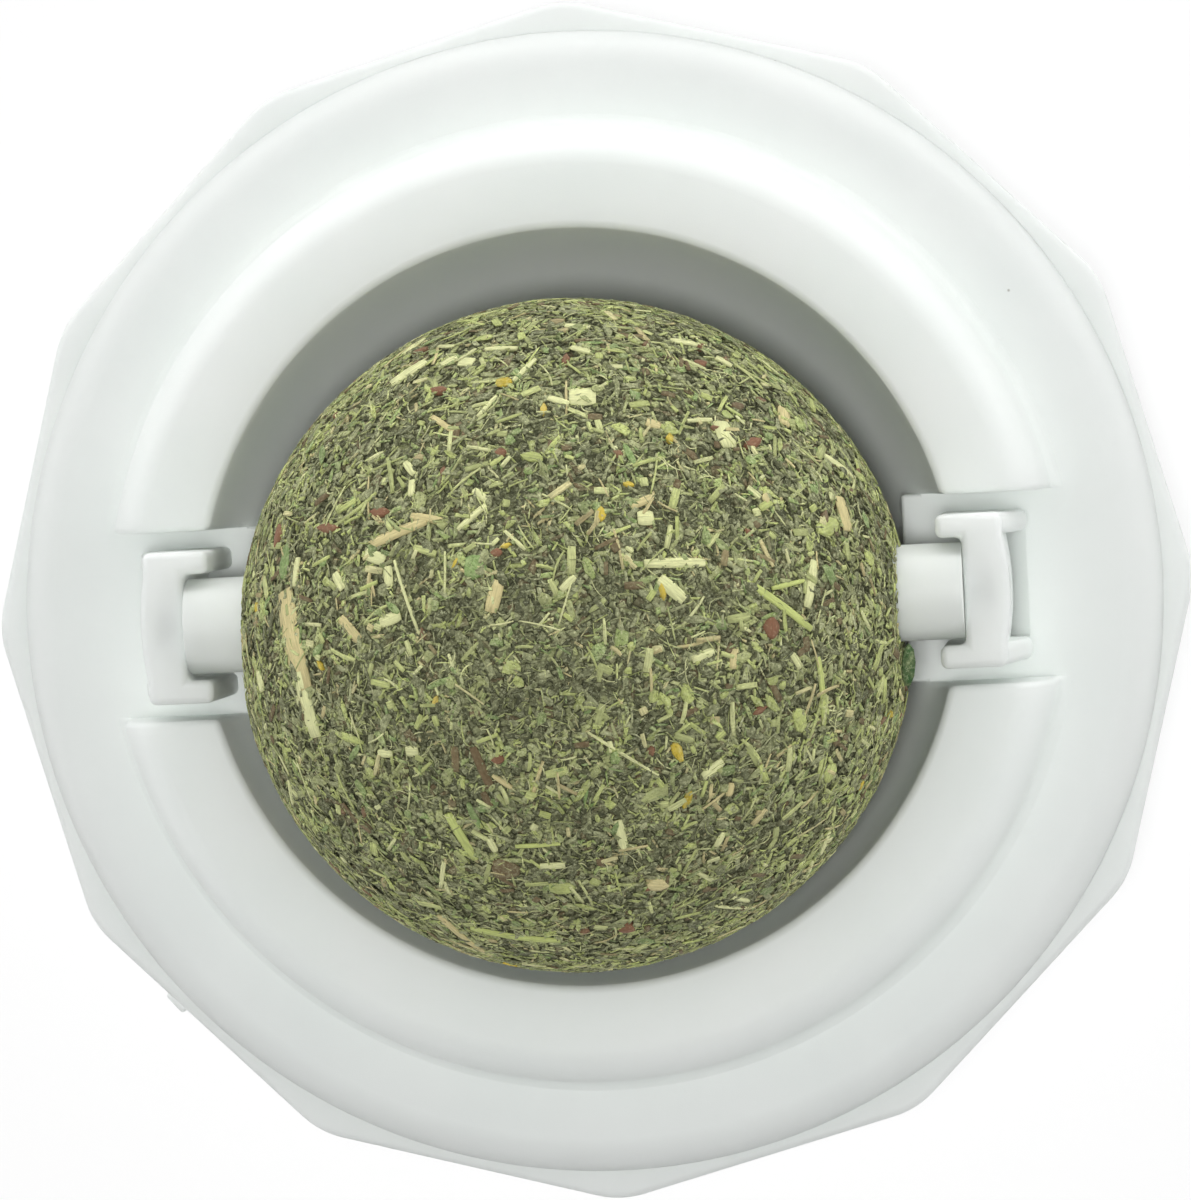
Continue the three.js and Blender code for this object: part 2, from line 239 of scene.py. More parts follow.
class CatnipStage(bpy.types.PropertyGroup):
    """Camera of the photograph, its light and the white wall."""

    lens: number("Lens", "Focal length in millimetres", 172.7)
    distance: length("Distance", "From the camera to the point that it was fitted round", 319.9)
    aim_height: length("Aim height", "Height of that point over the wall", 20)
    lean_x: angle("Lean along the axle", "How far the camera leans towards +X", 5.51)
    lean_y: angle("Lean up the wall", "How far the camera leans towards +Y", 1.84)
    roll: angle("Roll", "Turn of the picture", -2.89)
    aim_right: length("Aim right", "Shift of the aim to the picture's right", 0.656)
    aim_up: length("Aim up", "Shift of the aim to the picture's top", 0.284)
    ambient: number("Ambient", "Strength of the light from all round", 0.05)
    horizon: number("Horizon", "Strength of the light that low directions add", 4.3)
    horizon_height: number("Horizon height", "Height of a direction, up to 1, where it ends", 0.35)
    horizon_lean: number("Horizon lean", "Share by which that light is stronger from the top", 0.8)
    front: number("Front", "Power of the soft lamp in front, in watts", 1.06)
    front_size: length("Front size", "Width of that lamp", 80)
    front_place: bpy.props.FloatVectorProperty(
        name="Front place",
        description="Where that lamp stands, from the axle's middle",
        default=(22 * MM, -8 * MM, 430 * MM),
        subtype="TRANSLATION",
    )
    wall_size: length("Wall size", "Width of the white wall", 6000)
    wall_gap: length("Wall gap", "Gap between the foam pad and the wall", 0.05)
    wall_shade: number("Wall shade", "Share of the light that the wall throws back", 0.9)
    wall_glow: number("Wall glow", "Strength of the white that the camera sees on the wall", 1.1)
    wall_shadow: number("Wall shadow", "Share of the toy's shadow that the wall shows", 0.25)


# Shaping

def clear_selection():
    """Leaves edit mode with nothing selected."""
    if bpy.context.mode != "OBJECT":
        bpy.ops.object.mode_set(mode="OBJECT")
    bpy.ops.object.select_all(action="DESELECT")


def activate(obj):
    """Makes obj the only selected object, and the active one."""
    clear_selection()
    obj.select_set(True)
    bpy.context.view_layer.objects.active = obj


def places_of(mesh):
    """A mesh's vertices as rows of three numbers."""
    flat = np.empty(len(mesh.vertices) * 3)
    mesh.vertices.foreach_get("co", flat)
    return flat.reshape(-1, 3)


def move_to(mesh, places):
    """Puts a mesh's vertices at these places."""
    mesh.vertices.foreach_set("co", np.asarray(places, float).ravel())
    mesh.update()


def close_mesh(obj):
    """Merges seams and poles, closes the ends and turns the faces outwards."""
    activate(obj)
    bpy.ops.object.mode_set(mode="EDIT")
    bpy.ops.mesh.select_all(action="SELECT")
    bpy.ops.mesh.remove_doubles(threshold=MERGE_DISTANCE)
    bpy.ops.mesh.fill_holes(sides=0)
    bpy.ops.mesh.normals_make_consistent(inside=False)
    bpy.ops.object.mode_set(mode="OBJECT")


def lofted(rings):
    """A grid wrapped over closed rings of points, with a face at each end that isn't a single point."""
    rows, columns = rings.shape[:2]
    clear_selection()
    bpy.ops.mesh.primitive_grid_add(x_subdivisions=columns, y_subdivisions=rows - 1, size=2)
    obj = bpy.context.object
    flat = places_of(obj.data)
    column = np.rint((flat[:, 0] + 1) / 2 * columns).astype(int) % columns
    row = np.rint((flat[:, 1] + 1) / 2 * (rows - 1)).astype(int)
    move_to(obj.data, rings[row, column])
    close_mesh(obj)
    return obj


def turns(steps):
    """Angles all the way round, in equal steps."""
    return np.linspace(0, 2 * math.pi, steps, endpoint=False)


def turned(profile, steps):
    """A profile of radius and height, turned round the Z axis."""
    around = turns(steps)
    radius, height = np.array(profile).T[:, :, None]
    return lofted(
        np.stack([radius * np.cos(around), radius * np.sin(around), height + 0 * around], axis=2)
    )


def raised(outline, rise):
    """A flat outline of points, raised into a prism by a vector."""
    clear_selection()
    bpy.ops.mesh.primitive_circle_add(vertices=len(outline), fill_type="NGON")
    obj = bpy.context.object
    move_to(obj.data, outline)
    bpy.ops.object.mode_set(mode="EDIT")
    bpy.ops.mesh.select_all(action="SELECT")
    bpy.ops.mesh.extrude_region_move(TRANSFORM_OT_translate={"value": rise})
    bpy.ops.object.mode_set(mode="OBJECT")
    close_mesh(obj)
    return obj


def block(low, high):
    """A box between two corners."""
    (x, y, z), (right, back, top) = low, high
    outline = [(x, y, z), (right, y, z), (right, back, z), (x, back, z)]
    return raised(outline, (0, 0, top - z))


def rod(radius, start, end, steps):
    """A round rod along the axle's line."""
    outline = [(start, radius * math.cos(a), AXIS_Z + radius * math.sin(a)) for a in turns(steps)]
    return raised(outline, (end - start, 0, 0))


def arc(centre, wide, high, start, end, steps):
    """Points along an elliptic arc, between two angles in degrees."""
    turn = np.radians(np.linspace(start, end, steps + 1))
    return [(centre[0] + wide * math.cos(a), centre[1] + high * math.sin(a)) for a in turn]


def apply_modifier(obj, kind, **settings):
    """Adds a modifier with these settings and applies it."""
    activate(obj)
    bpy.ops.object.modifier_add(type=kind)
    modifier = obj.modifiers[-1]
    for name, value in settings.items():
        setattr(modifier, name, value)
    bpy.ops.object.modifier_apply(modifier=modifier.name)


def round_edges(obj, width, segments):
    """Rounds every edge that is sharper than half a right angle."""
    apply_modifier(
        obj, "BEVEL", width=width, segments=segments, limit_method="ANGLE", angle_limit=math.radians(45)
    )


def combine(obj, other, operation):
    """Joins another mesh to obj or cuts it out of obj, and uses it up."""
    apply_modifier(obj, "BOOLEAN", object=other, operation=operation, solver="EXACT")
    bpy.data.objects.remove(other)


def copied(obj, matrix):
    """A copy of obj with a mesh of its own, moved by a matrix."""
    twin = obj.copy()
    twin.data = obj.data.copy()
    twin.data.transform(matrix)
    bpy.context.scene.collection.objects.link(twin)
    return twin


def smooth(obj):
    """Smooth shading that keeps real edges sharp and flat faces flat."""
    activate(obj)
    bpy.ops.object.shade_smooth_by_angle(angle=SHARP_EDGE)
    apply_modifier(obj, "WEIGHTED_NORMAL", keep_sharp=True)


def finish_piece(obj, name, material, body, node=None):
    """Names a piece, gives it its finish and ties it to the frame."""
    obj.name = name
    obj.data.name = name
    obj.data.materials.clear()
    obj.data.materials.append(material)
    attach(obj, body)
    if node:
        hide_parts(node)


# Finishes

WHITE = (1, 1, 1, 1)
FLOW_SHADE = (0.955, 0.962, 0.965, 1)  # the plastic's colour is times this in its flow marks
STREAK_DARK = (0.05, 0.05, 0.025, 1)
# dark of the painted shade in pits between crumbs, and of darker patches of herb
PIT_SHADE_AND_PATCH_DARK = (0.032, 0.035, 0.018, 1)
CRUMB_PALE = (0.72, 0.75, 0.46, 1)
SURFACE = {"Colour": "Color", "Roughness": "Float", "Height": "Float"}


def add_node(tree, kind, values=(), **settings):
    """A node with its settings made and its inputs set or linked, by name or by place."""
    node = tree.nodes.new(kind)
    for name, value in settings.items():
        setattr(node, name, value)
    for key, value in dict(values).items():
        socket = node.inputs[key]
        if isinstance(value, bpy.types.NodeSocket):
            tree.links.new(value, socket)
        else:
            socket.default_value = value
    return node


def scaled(tree, vector, scale):
    """A vector times a scale along each axis."""
    return add_node(tree, "ShaderNodeMapping", {"Vector": vector, "Scale": scale}).outputs[0]


def noise(tree, vector, scale, detail=2.0, roughness=0.5):
    """A noise value from 0 to 1."""
    values = {"Vector": vector, "Scale": scale, "Detail": detail, "Roughness": roughness}
    return add_node(tree, "ShaderNodeTexNoise", values).outputs["Fac"]


def cells(tree, vector, scale):
    """A cell pattern, with its distance and a random colour for each cell."""
    return add_node(tree, "ShaderNodeTexVoronoi", {"Vector": vector, "Scale": scale}).outputs


def spread(tree, value, from_low, from_high, to_low=0.0, to_high=1.0):
    """A value moved from one range to another, and held inside it."""
    values = {0: value, 1: from_low, 2: from_high, 3: to_low, 4: to_high}
    return add_node(tree, "ShaderNodeMapRange", values).outputs[0]


def maths(tree, operation, first, second):
    """A sum, product or comparison of two values."""
    return add_node(tree, "ShaderNodeMath", {0: first, 1: second}, operation=operation).outputs[0]


def mixed(tree, share, first, second, blend="MIX"):
    """Two colours mixed by a share."""
    return add_node(
        tree, "ShaderNodeMix", {0: share, 6: first, 7: second}, data_type="RGBA", blend_type=blend
    ).outputs[2]


def opaque(rgb):
    """A colour with full alpha."""
    return (*rgb, 1.0)


def toned(tree, value, colours, tones):
    """A colour ramp over a value. A tone has its place on the ramp and the name of its colour."""
    ramp = add_node(tree, "ShaderNodeValToRGB", {"Fac": value})
    elements = ramp.color_ramp.elements
    while len(elements) < len(tones):
        elements.new(1.0)
    for element, (at, name) in zip(elements, tones):
        element.position = at
        element.color = opaque(getattr(colours, name))
    return ramp.outputs["Color"]


def new_group(name, inputs, outputs):
    """A shader node group with sockets of these names and kinds, and its tree's two ends."""
    tree = bpy.data.node_groups.new(name, "ShaderNodeTree")
    for way, sockets in (("INPUT", inputs), ("OUTPUT", outputs)):
        for label, kind in sockets.items():
            tree.interface.new_socket(label, in_out=way, socket_type=f"NodeSocket{kind}")
    start = tree.nodes.new("NodeGroupInput")
    end = tree.nodes.new("NodeGroupOutput")
    return tree, start.outputs, end.inputs


def use_group(tree, name, values):
    """A shader node group placed in a material."""
    return add_node(tree, "ShaderNodeGroup", values, node_tree=bpy.data.node_groups[name]).outputs


def make_moulding_group():
    """Moulded plastic: cloudy flow marks, satin grain, fine scuffs and a few specks of dirt."""
    inputs = {
        "Vector": "Vector",
        "Colour": "Color",
        "Dirt": "Color",
        "Roughness": "Float",
        "Specks": "Float",
    }
    tree, given, result = new_group("moulded_surface", inputs, SURFACE)
    vector = given["Vector"]
    clouds = spread(tree, noise(tree, vector, scale=0.11, detail=3.0), 0.3, 0.7)
    shade = mixed(tree, 1.0, given["Colour"], FLOW_SHADE, "MULTIPLY")
    flowed = mixed(tree, clouds, shade, given["Colour"])
    dots = cells(tree, vector, scale=0.3)
    dot = spread(tree, dots["Distance"], 0.012, 0.035, 1.0, 0.0)
    chosen = spread(tree, dots["Color"], 0.62, 0.66)
    speck = maths(tree, "MULTIPLY", maths(tree, "MULTIPLY", dot, chosen), given["Specks"])
    tree.links.new(mixed(tree, speck, flowed, given["Dirt"]), result["Colour"])
    brushed = scaled(tree, vector, (0.5, 4.0, 1.0))
    scuffs = noise(tree, brushed, scale=1.6, detail=4.0, roughness=0.6)
    rough = spread(tree, scuffs, 0.3, 0.7, -0.05, 0.06)
    tree.links.new(maths(tree, "ADD", rough, given["Roughness"]), result["Roughness"])
    grain = noise(tree, vector, scale=14.0)
    tree.links.new(maths(tree, "ADD", grain, clouds), result["Height"])


def make_fibre_group():
    """Dry plant fibre: streaks along the piece, a thin coat of dust, painted shade in its pits, darker
    patches and pale crumbs.
    """
    inputs = {
        "Along": "Vector",
        "Place": "Vector",
        "Colour": "Color",
        "Dust": "Color",
        "Dust Share": "Float",
        "Streak": "Float",
        "Crumbs": "Float",
    }
    tree, given, result = new_group("dry_fibre", inputs, SURFACE)
    place = given["Place"]
    drawn_out = scaled(tree, given["Along"], (0.9, 9.0, 1.0))
    lines = noise(tree, drawn_out, scale=1.0, detail=3.0, roughness=0.6)
    tone = spread(tree, lines, 0.3, 0.7)
    dark = mixed(tree, given["Streak"], given["Colour"], STREAK_DARK)
    streaked = mixed(tree, tone, dark, given["Colour"])
    film = spread(tree, noise(tree, place, scale=2.6, detail=3.0), 0.42, 0.72)
    dusty = mixed(tree, maths(tree, "MULTIPLY", film, given["Dust Share"]), streaked, given["Dust"])
    crumbs = noise(tree, place, scale=6.5, roughness=0.7)
    # painted shade in pits, where the crumbs noise is low
    pit_shade = maths(tree, "MULTIPLY", spread(tree, crumbs, 0.32, 0.47, 0.75, 0.0), given["Crumbs"])
    stains = noise(tree, place, scale=0.55, detail=3.0, roughness=0.6)
    patches = spread(tree, stains, 0.38, 0.6, 0.42, 0.0)
    pit_shade_and_patches = maths(tree, "MAXIMUM", pit_shade, maths(tree, "MULTIPLY", patches, given["Crumbs"]))
    shaded = mixed(tree, pit_shade_and_patches, dusty, PIT_SHADE_AND_PATCH_DARK)
    bright = maths(tree, "MULTIPLY", spread(tree, crumbs, 0.53, 0.68, 0.0, 0.4), given["Crumbs"])
    tree.links.new(mixed(tree, bright, shaded, CRUMB_PALE), result["Colour"])
    tree.links.new(spread(tree, lines, 0.3, 0.7, 0.92, 0.66), result["Roughness"])
    tree.links.new(lines, result["Height"])


def empty_material(name):
    """A node material with nothing but its output, and that output's surface socket."""
    material = bpy.data.materials.new(name)
    material.use_nodes = True
    tree = material.node_tree
    tree.nodes.clear()
    return material, tree, tree.nodes.new("ShaderNodeOutputMaterial").inputs["Surface"]


def new_material(name):
    """A node material with its shader, and millimetre coordinates on the piece."""
    material, tree, surface = empty_material(name)
    shader = tree.nodes.new("ShaderNodeBsdfPrincipled")
    tree.links.new(shader.outputs["BSDF"], surface)
    here = tree.nodes.new("ShaderNodeTexCoord").outputs["Object"]
    return material, tree, shader, scaled(tree, here, (1 / MM,) * 3)


def dress(tree, shader, surface, bump, bump_distance):
    """Links a surface's colour, roughness and height to the shader."""
    tree.links.new(surface["Colour"], shader.inputs["Base Color"])
    tree.links.new(surface["Roughness"], shader.inputs["Roughness"])
    relief = add_node(
        tree,
        "ShaderNodeBump",
        {"Height": surface["Height"], "Strength": bump, "Distance": bump_distance},
    )
    tree.links.new(relief.outputs["Normal"], shader.inputs["Normal"])


def plastic_material(name, rgb, colours, roughness, specks):
    """Satin white plastic that lets some light through."""
    material, tree, shader, vector = new_material(name)
    values = {
        "Vector": vector,
        "Colour": opaque(rgb),
        "Dirt": opaque(colours.dirt),
        "Roughness": roughness,
        "Specks": specks,
    }
    dress(tree, shader, use_group(tree, "moulded_surface", values), 0.25, 0.02 * MM)
    shader.inputs["Subsurface Weight"].default_value = colours.scatter
    shader.inputs["Subsurface Radius"].default_value = (1, 1, 1)
    shader.inputs["Subsurface Scale"].default_value = colours.scatter_depth
    return material


def foam_material(name, rgb):
    """Closed-cell foam, its cut cells painted a little darker than their walls, as shade in their hollows.
    """
    material, tree, shader, vector = new_material(name)
    bubbles = cells(tree, vector, scale=4.5)["Distance"]
    walls = spread(tree, bubbles, 0.15, 0.6)
    # painted shade in the hollows of the cut cells
    cell_shade = tuple(0.72 * value for value in rgb)
    surface = {
        "Colour": mixed(tree, walls, opaque(cell_shade), opaque(rgb)),
        "Roughness": spread(tree, bubbles, 0.1, 0.6, 0.97, 0.82),
        "Height": walls,
    }
    dress(tree, shader, surface, 0.6, 0.08 * MM)
    return material


def core_material(name, colours):
    """Pressed dust and crumbs between the flakes, in the core colour's painted shade."""
    material, tree, shader, vector = new_material(name)
    crumbs = cells(tree, vector, scale=3.2)["Color"]
    tones = ((0, "core"), (0.4, "dark_leaf"), (0.7, "grey_leaf"), (1, "olive_leaf"))
    values = {
        "Along": scaled(tree, vector, (1.4, 0.5, 0.9)),
        "Place": vector,
        "Colour": toned(tree, crumbs, colours, tones),
        # the core colour: painted shade of the gaps between flakes
        "Dust": opaque(colours.core),
        "Dust Share": 0.5,
        "Streak": 0.7,
        "Crumbs": 1.0,
    }
    dress(tree, shader, use_group(tree, "dry_fibre", values), 0.8, 0.15 * MM)
    return material


def herb_material(name, colours, tones, streak, dust_share, crumbs=1.0, specular=0.3):
    """Dry herb: each flake takes its tone from its own tint, with streaks along it."""
    material, tree, shader, vector = new_material(name)
    tint = add_node(tree, "ShaderNodeAttribute", attribute_name="tint").outputs["Fac"]
    values = {
        "Along": add_node(tree, "ShaderNodeUVMap", uv_map="grain").outputs["UV"],
        "Place": vector,
        "Colour": toned(tree, tint, colours, tones),
        "Dust": opaque(colours.dust),
        "Dust Share": dust_share,
        "Streak": streak,
        "Crumbs": crumbs,
    }
    dress(tree, shader, use_group(tree, "dry_fibre", values), 0.5, 0.05 * MM)
    shader.inputs["Specular IOR Level"].default_value = specular
    return material


# Front dish

def dish_places(sizes):
    """Heights and radii of the dish that follow from its sizes and the frame."""
    outer = AXIS_Z - DISH_LOW.z
    bowl = outer - sizes.bowl_wall
    land_z = AXIS_Z - sizes.land_drop
    bore = math.sqrt(bowl**2 - sizes.land_drop**2)
    land = bore + sizes.land_width
    rim_z = AXIS_Z - sizes.axle_rise
    return {
        "outer": outer,
        "bowl": bowl,
        "land_z": land_z,
        "rim_z": rim_z,
        "root_z": rim_z - sizes.plate_thickness / 2,
        "under_z": rim_z - sizes.plate_thickness,
        "bore": bore,
        "land": land,
        "ring": land + sizes.shoulder_width,
        "disc": DISH_HIGH.x,
        "web_out": sizes.web_start + sizes.web_thickness,
        "half_gap": sizes.prong_gap / 2,
        "half_clip": sizes.prong_gap / 2 + sizes.prong_thickness,
    }


def bowl_angle(radius, height):
    """Angle in degrees of a height on a sphere round the axle's middle."""
    return math.degrees(math.asin((height - AXIS_Z) / radius))


def make_plate(sizes, at):
    """Bowl, flat rim with its rounded edge, and the collar under it, in one turned wall."""
    inner = at["bowl"]
    thick = sizes.plate_thickness
    centre = (0, AXIS_Z)
    profile = arc(centre, inner, inner, -90, bowl_angle(inner, at["rim_z"]), 28)
    profile += arc((at["disc"] - thick, at["under_z"]), thick, thick, 90, 0, 14)
    spigot_foot = at["under_z"] - sizes.spigot_depth
    spigot_inside = sizes.spigot_radius - sizes.spigot_wall
    profile += [
        (sizes.spigot_radius, at["under_z"]),
        (sizes.spigot_radius, spigot_foot),
        (spigot_inside, spigot_foot),
        (spigot_inside, at["under_z"]),
    ]
    profile += arc(centre, at["outer"], at["outer"], bowl_angle(at["outer"], at["under_z"]), -90, 20)
    return turned(profile, sizes.round_steps)


def ring_profile(sizes, at):
    """Closed section of the raised ring, from inside the bowl over the land to its foot in the rim."""
    root_z = at["root_z"]
    edge = sizes.bore_edge
    fillet = sizes.foot_fillet
    foot = at["ring"] + sizes.ring_draft
    shoulder_z = at["land_z"] - sizes.shoulder_height
    edge_foot_z = at["land_z"] - edge
    buried, proud = 0.012 * MM, 0.006 * MM
    points = []
    for rise in np.linspace(0, 1, 15):
        z = root_z + rise * (edge_foot_z - root_z)
        sphere = at["bowl"] + buried - (buried + proud) * min(8 * rise, 1)
        points.append((math.sqrt(sphere**2 - (z - AXIS_Z) ** 2), z))
    points += arc((points[-1][0] + edge, edge_foot_z), edge, edge, 180, 90, 6)[1:]
    points += [(at["land"] - share * sizes.land_width, at["land_z"]) for share in (0.6, 0.3)]
    points += arc((at["land"], shoulder_z), sizes.shoulder_width, sizes.shoulder_height, 90, 0, 18)
    points += arc((foot + fillet, at["rim_z"] + fillet), fillet, fillet, 180, 260, 5)
    points += [(points[-1][0], root_z), (at["land"], root_z), (at["bore"], root_z)]
    return np.array(points)


def inset(profile, distance, foot_z):
    """A closed section drawn inwards by a distance, square to its edge, and not at all at its foot."""
    fade = 1.2 * MM
    ahead = np.roll(profile, -1, axis=0) - np.roll(profile, 1, axis=0)
    ahead /= np.linalg.norm(ahead, axis=1, keepdims=True)
    share = np.clip((profile[:, 1:] - foot_z) / fade, 0, 1)
    return profile + distance * share * np.stack([ahead[:, 1], -ahead[:, 0]], axis=1)


def make_ring_half(sizes, at, side):
    """Half of the raised ring. Its ends lie in the walls of the notches, with rounded edges."""
    section = ring_profile(sizes, at)
    edge = sizes.notch_edge
    wall_y = sizes.notch_width / 2
    edge_turns = np.radians(np.linspace(90, 0, 6))
    ends = [(edge * (1 - math.cos(t)), wall_y + edge * (1 - math.sin(t))) for t in edge_turns]
    between = list(np.linspace(0, 1, sizes.round_steps // 2)[1:-1])
    spans = [0.0] * len(ends) + between + [1.0] * len(ends)
    insets = ends + [ends[-1]] * len(between) + ends[::-1]
    rings = []
    for span, (depth, height) in zip(spans, insets):
        radius, z = inset(section, depth, at["rim_z"]).T
        start = np.arcsin(height / radius)
        turn = start + span * (math.pi - 2 * start)
        rings.append(np.stack([radius * np.cos(turn), side * radius * np.sin(turn), z], axis=1))
    return lofted(np.array(rings))


def make_ledge(sizes, at):
    """Flat ledge that runs on from a notch's floor into the bowl."""
    half = sizes.notch_width / 2
    start, end = sizes.ledge_start, at["bowl"]
    low = AXIS_Z - math.sqrt(at["bowl"] ** 2 - start**2) - sizes.bowl_wall / 2
    outline = [
        (start, -half, low),
        (start, -half, at["rim_z"]),
        (end, -half, at["rim_z"]),
        (end, -half, at["under_z"]),
    ]
    ledge = raised(outline, (0, 2 * half, 0))
    round_edges(ledge, sizes.ledge_edge, 3)
    return ledge


def make_clip(sizes, at):
    """One clip: a web bowed a little outwards, a prong on each side of the axle and two gussets."""
    tip = sizes.web_start - sizes.prong_reach
    inside, outside = sizes.web_start, at["web_out"]
    gap, half = at["half_gap"], at["half_clip"]
    root_z = at["root_z"]
    top_z = DISH_HIGH.z
    bow = [(outside + sizes.web_bow * (1 - s**2), s * gap) for s in np.linspace(-1, 1, 11)]
    outline = [(tip, gap), (inside, gap), (inside, -gap), (tip, -gap), (tip, -half), (outside, -half)]
    outline += bow
    outline += [(outside, half), (tip, half)]
    clip = raised([(x, y, root_z) for x, y in outline], (0, 0, top_z - root_z))
    round_edges(clip, sizes.clip_edge, 5)
    tuck = 0.04 * MM
    for near in (-half + tuck, gap + tuck):
        middle = (inside + outside) / 2
        toe = outside + sizes.gusset_reach
        gusset_top = top_z - sizes.gusset_drop
        side_view = [
            (middle, near, root_z),
            (toe, near, root_z),
            (toe, near, at["rim_z"] + sizes.gusset_toe),
            (outside, near, gusset_top),
            (middle, near, gusset_top),
        ]
        gusset = raised(side_view, (0, sizes.prong_thickness - 2 * tuck, 0))
        round_edges(gusset, sizes.clip_edge, 5)
        combine(clip, gusset, "UNION")
    hole = rod(sizes.pin_hole, tip, outside + sizes.gusset_reach, PIN_HOLE_STEPS)
    combine(clip, hole, "DIFFERENCE")
    return clip


class CATNIP_OT_dish(bpy.types.Operator):
    """Builds the round dish with its bowl, ring, notches and clips"""

    bl_idname = "catnip.dish"
    bl_label = "Front Dish"

    def execute(self, context):
        sizes = context.scene.catnip_dish
        colours = context.scene.catnip_colours
        at = dish_places(sizes)
        dish = make_plate(sizes, at)
        slot = block(
            (at["web_out"] - sizes.web_bow, -at["half_gap"], at["rim_z"] - sizes.slot_depth),
            (at["web_out"] + sizes.slot_width, at["half_gap"], at["land_z"]),
        )
        twin = copied(slot, HALF_TURN)
        combine(dish, slot, "DIFFERENCE")
        combine(dish, twin, "DIFFERENCE")
        for side in (1, -1):
            combine(dish, make_ring_half(sizes, at, side), "UNION")
        for make in (make_ledge, make_clip):
            feature = make(sizes, at)
            twin = copied(feature, HALF_TURN)
            combine(dish, feature, "UNION")
            combine(dish, twin, "UNION")
        smooth(dish)
        white = plastic_material("satin_white_dish", colours.dish, colours, roughness=0.56, specks=0.7)
        finish_piece(dish, "moulded_dish", white, "holder", "front_dish")
        return {"FINISHED"}


# Base and pad

def base_outline(sizes, inward, steps):
    """The base's outline with rounded corners, one corner on the X axis, drawn inwards by a distance."""
    half_step = math.pi / sizes.sides
    radius = sizes.corner_radius - min(inward, sizes.wall)
    reach = (sizes.across_flats / 2 - inward - radius) / math.cos(half_step)
    points = []
    for corner in range(sizes.sides):
        facing = 2 * corner * half_step
        for turn in np.linspace(-half_step, half_step, steps + 1):
            points.append(
                (
                    reach * math.cos(facing) + radius * math.cos(facing + turn),
                    reach * math.sin(facing) + radius * math.sin(facing + turn),
                )
            )
    return points


class CATNIP_OT_base(bpy.types.Operator):
    """Builds the twelve-sided cup that carries the dish"""

    bl_idname = "catnip.base"
    bl_label = "Faceted Base"

    def execute(self, context):
        sizes = context.scene.catnip_base
        colours = context.scene.catnip_colours
        low, high = BASE_LOW.z, BASE_HIGH.z
        edge = sizes.edge
        floor_z = low + sizes.floor
        section = [(edge - x, z) for x, z in arc((0, low + edge), edge, edge, -90, 0, 5)]
        section += [(edge - x, z) for x, z in arc((0, high - edge), edge, edge, 0, 90, 5)]
        corner_steps = 6
        rings = []
        for inward, z in section:
            rings.append([(x, y, z) for x, y in base_outline(sizes, inward, corner_steps)])
        total = len(rings[-1])
        around = [2 * math.pi * (index - corner_steps / 2) / total for index in range(total)]
        for z in (high, high - sizes.bore_depth):
            rings.append([(sizes.bore * math.cos(a), sizes.bore * math.sin(a), z) for a in around])
        for z in (high - sizes.bore_depth, floor_z):
            rings.append([(x, y, z) for x, y in base_outline(sizes, sizes.wall, corner_steps)])
        base = lofted(np.array(rings))
        half = sizes.across_flats / 2
        gate_top = high - sizes.gate_drop
        gate = block(
            (half - sizes.wall / 2, -sizes.gate_width / 2, gate_top - sizes.gate_height),
            (half + sizes.gate_proud, sizes.gate_width / 2, gate_top),
        )
        round_edges(gate, edge / 2, 3)
        gate.data.transform(Matrix.Rotation(sizes.gate_angle, 4, "Z"))
        combine(base, gate, "UNION")
        smooth(base)
        white = plastic_material("satin_white_base", colours.dish, colours, roughness=0.56, specks=0.5)
        finish_piece(base, "twelve_sided_base", white, "holder", "faceted_base")
        return {"FINISHED"}


class CATNIP_OT_pad(bpy.types.Operator):
    """Builds the foam pad that holds the base to the wall"""

    bl_idname = "catnip.pad"
    bl_label = "Adhesive Pad"

    def execute(self, context):
        sizes = context.scene.catnip_base
        colours = context.scene.catnip_colours
        low, high, radius = PAD_LOW.z, PAD_HIGH.z, PAD_HIGH.x
        face = 0.6 * radius
        soft = 0.12 * MM
        steps = 180
        waves = (17, 41, 73)
        profile = [(0, low), (face, low)]
        profile += arc((radius - soft, low + soft), soft, soft, -90, 0, 3)
        profile += arc((radius - soft, high - soft), soft, soft, 0, 90, 3)
        profile += [(face, high), (0, high)]
        pad = turned(profile, steps)
        places = places_of(pad.data)
        around = np.arctan2(places[:, 1], places[:, 0])
        ragged = sum(1 + np.sin(wave * around + shift) for shift, wave in enumerate(waves))
        places[:, :2] *= 1 - (sizes.pad_edge / radius * ragged / (2 * len(waves)))[:, None]
        move_to(pad.data, places)
        smooth(pad)
        foam = foam_material("cut_foam", colours.foam)
        finish_piece(pad, "foam_pad", foam, "holder", "adhesive_pad")
        return {"FINISHED"}


# Axle

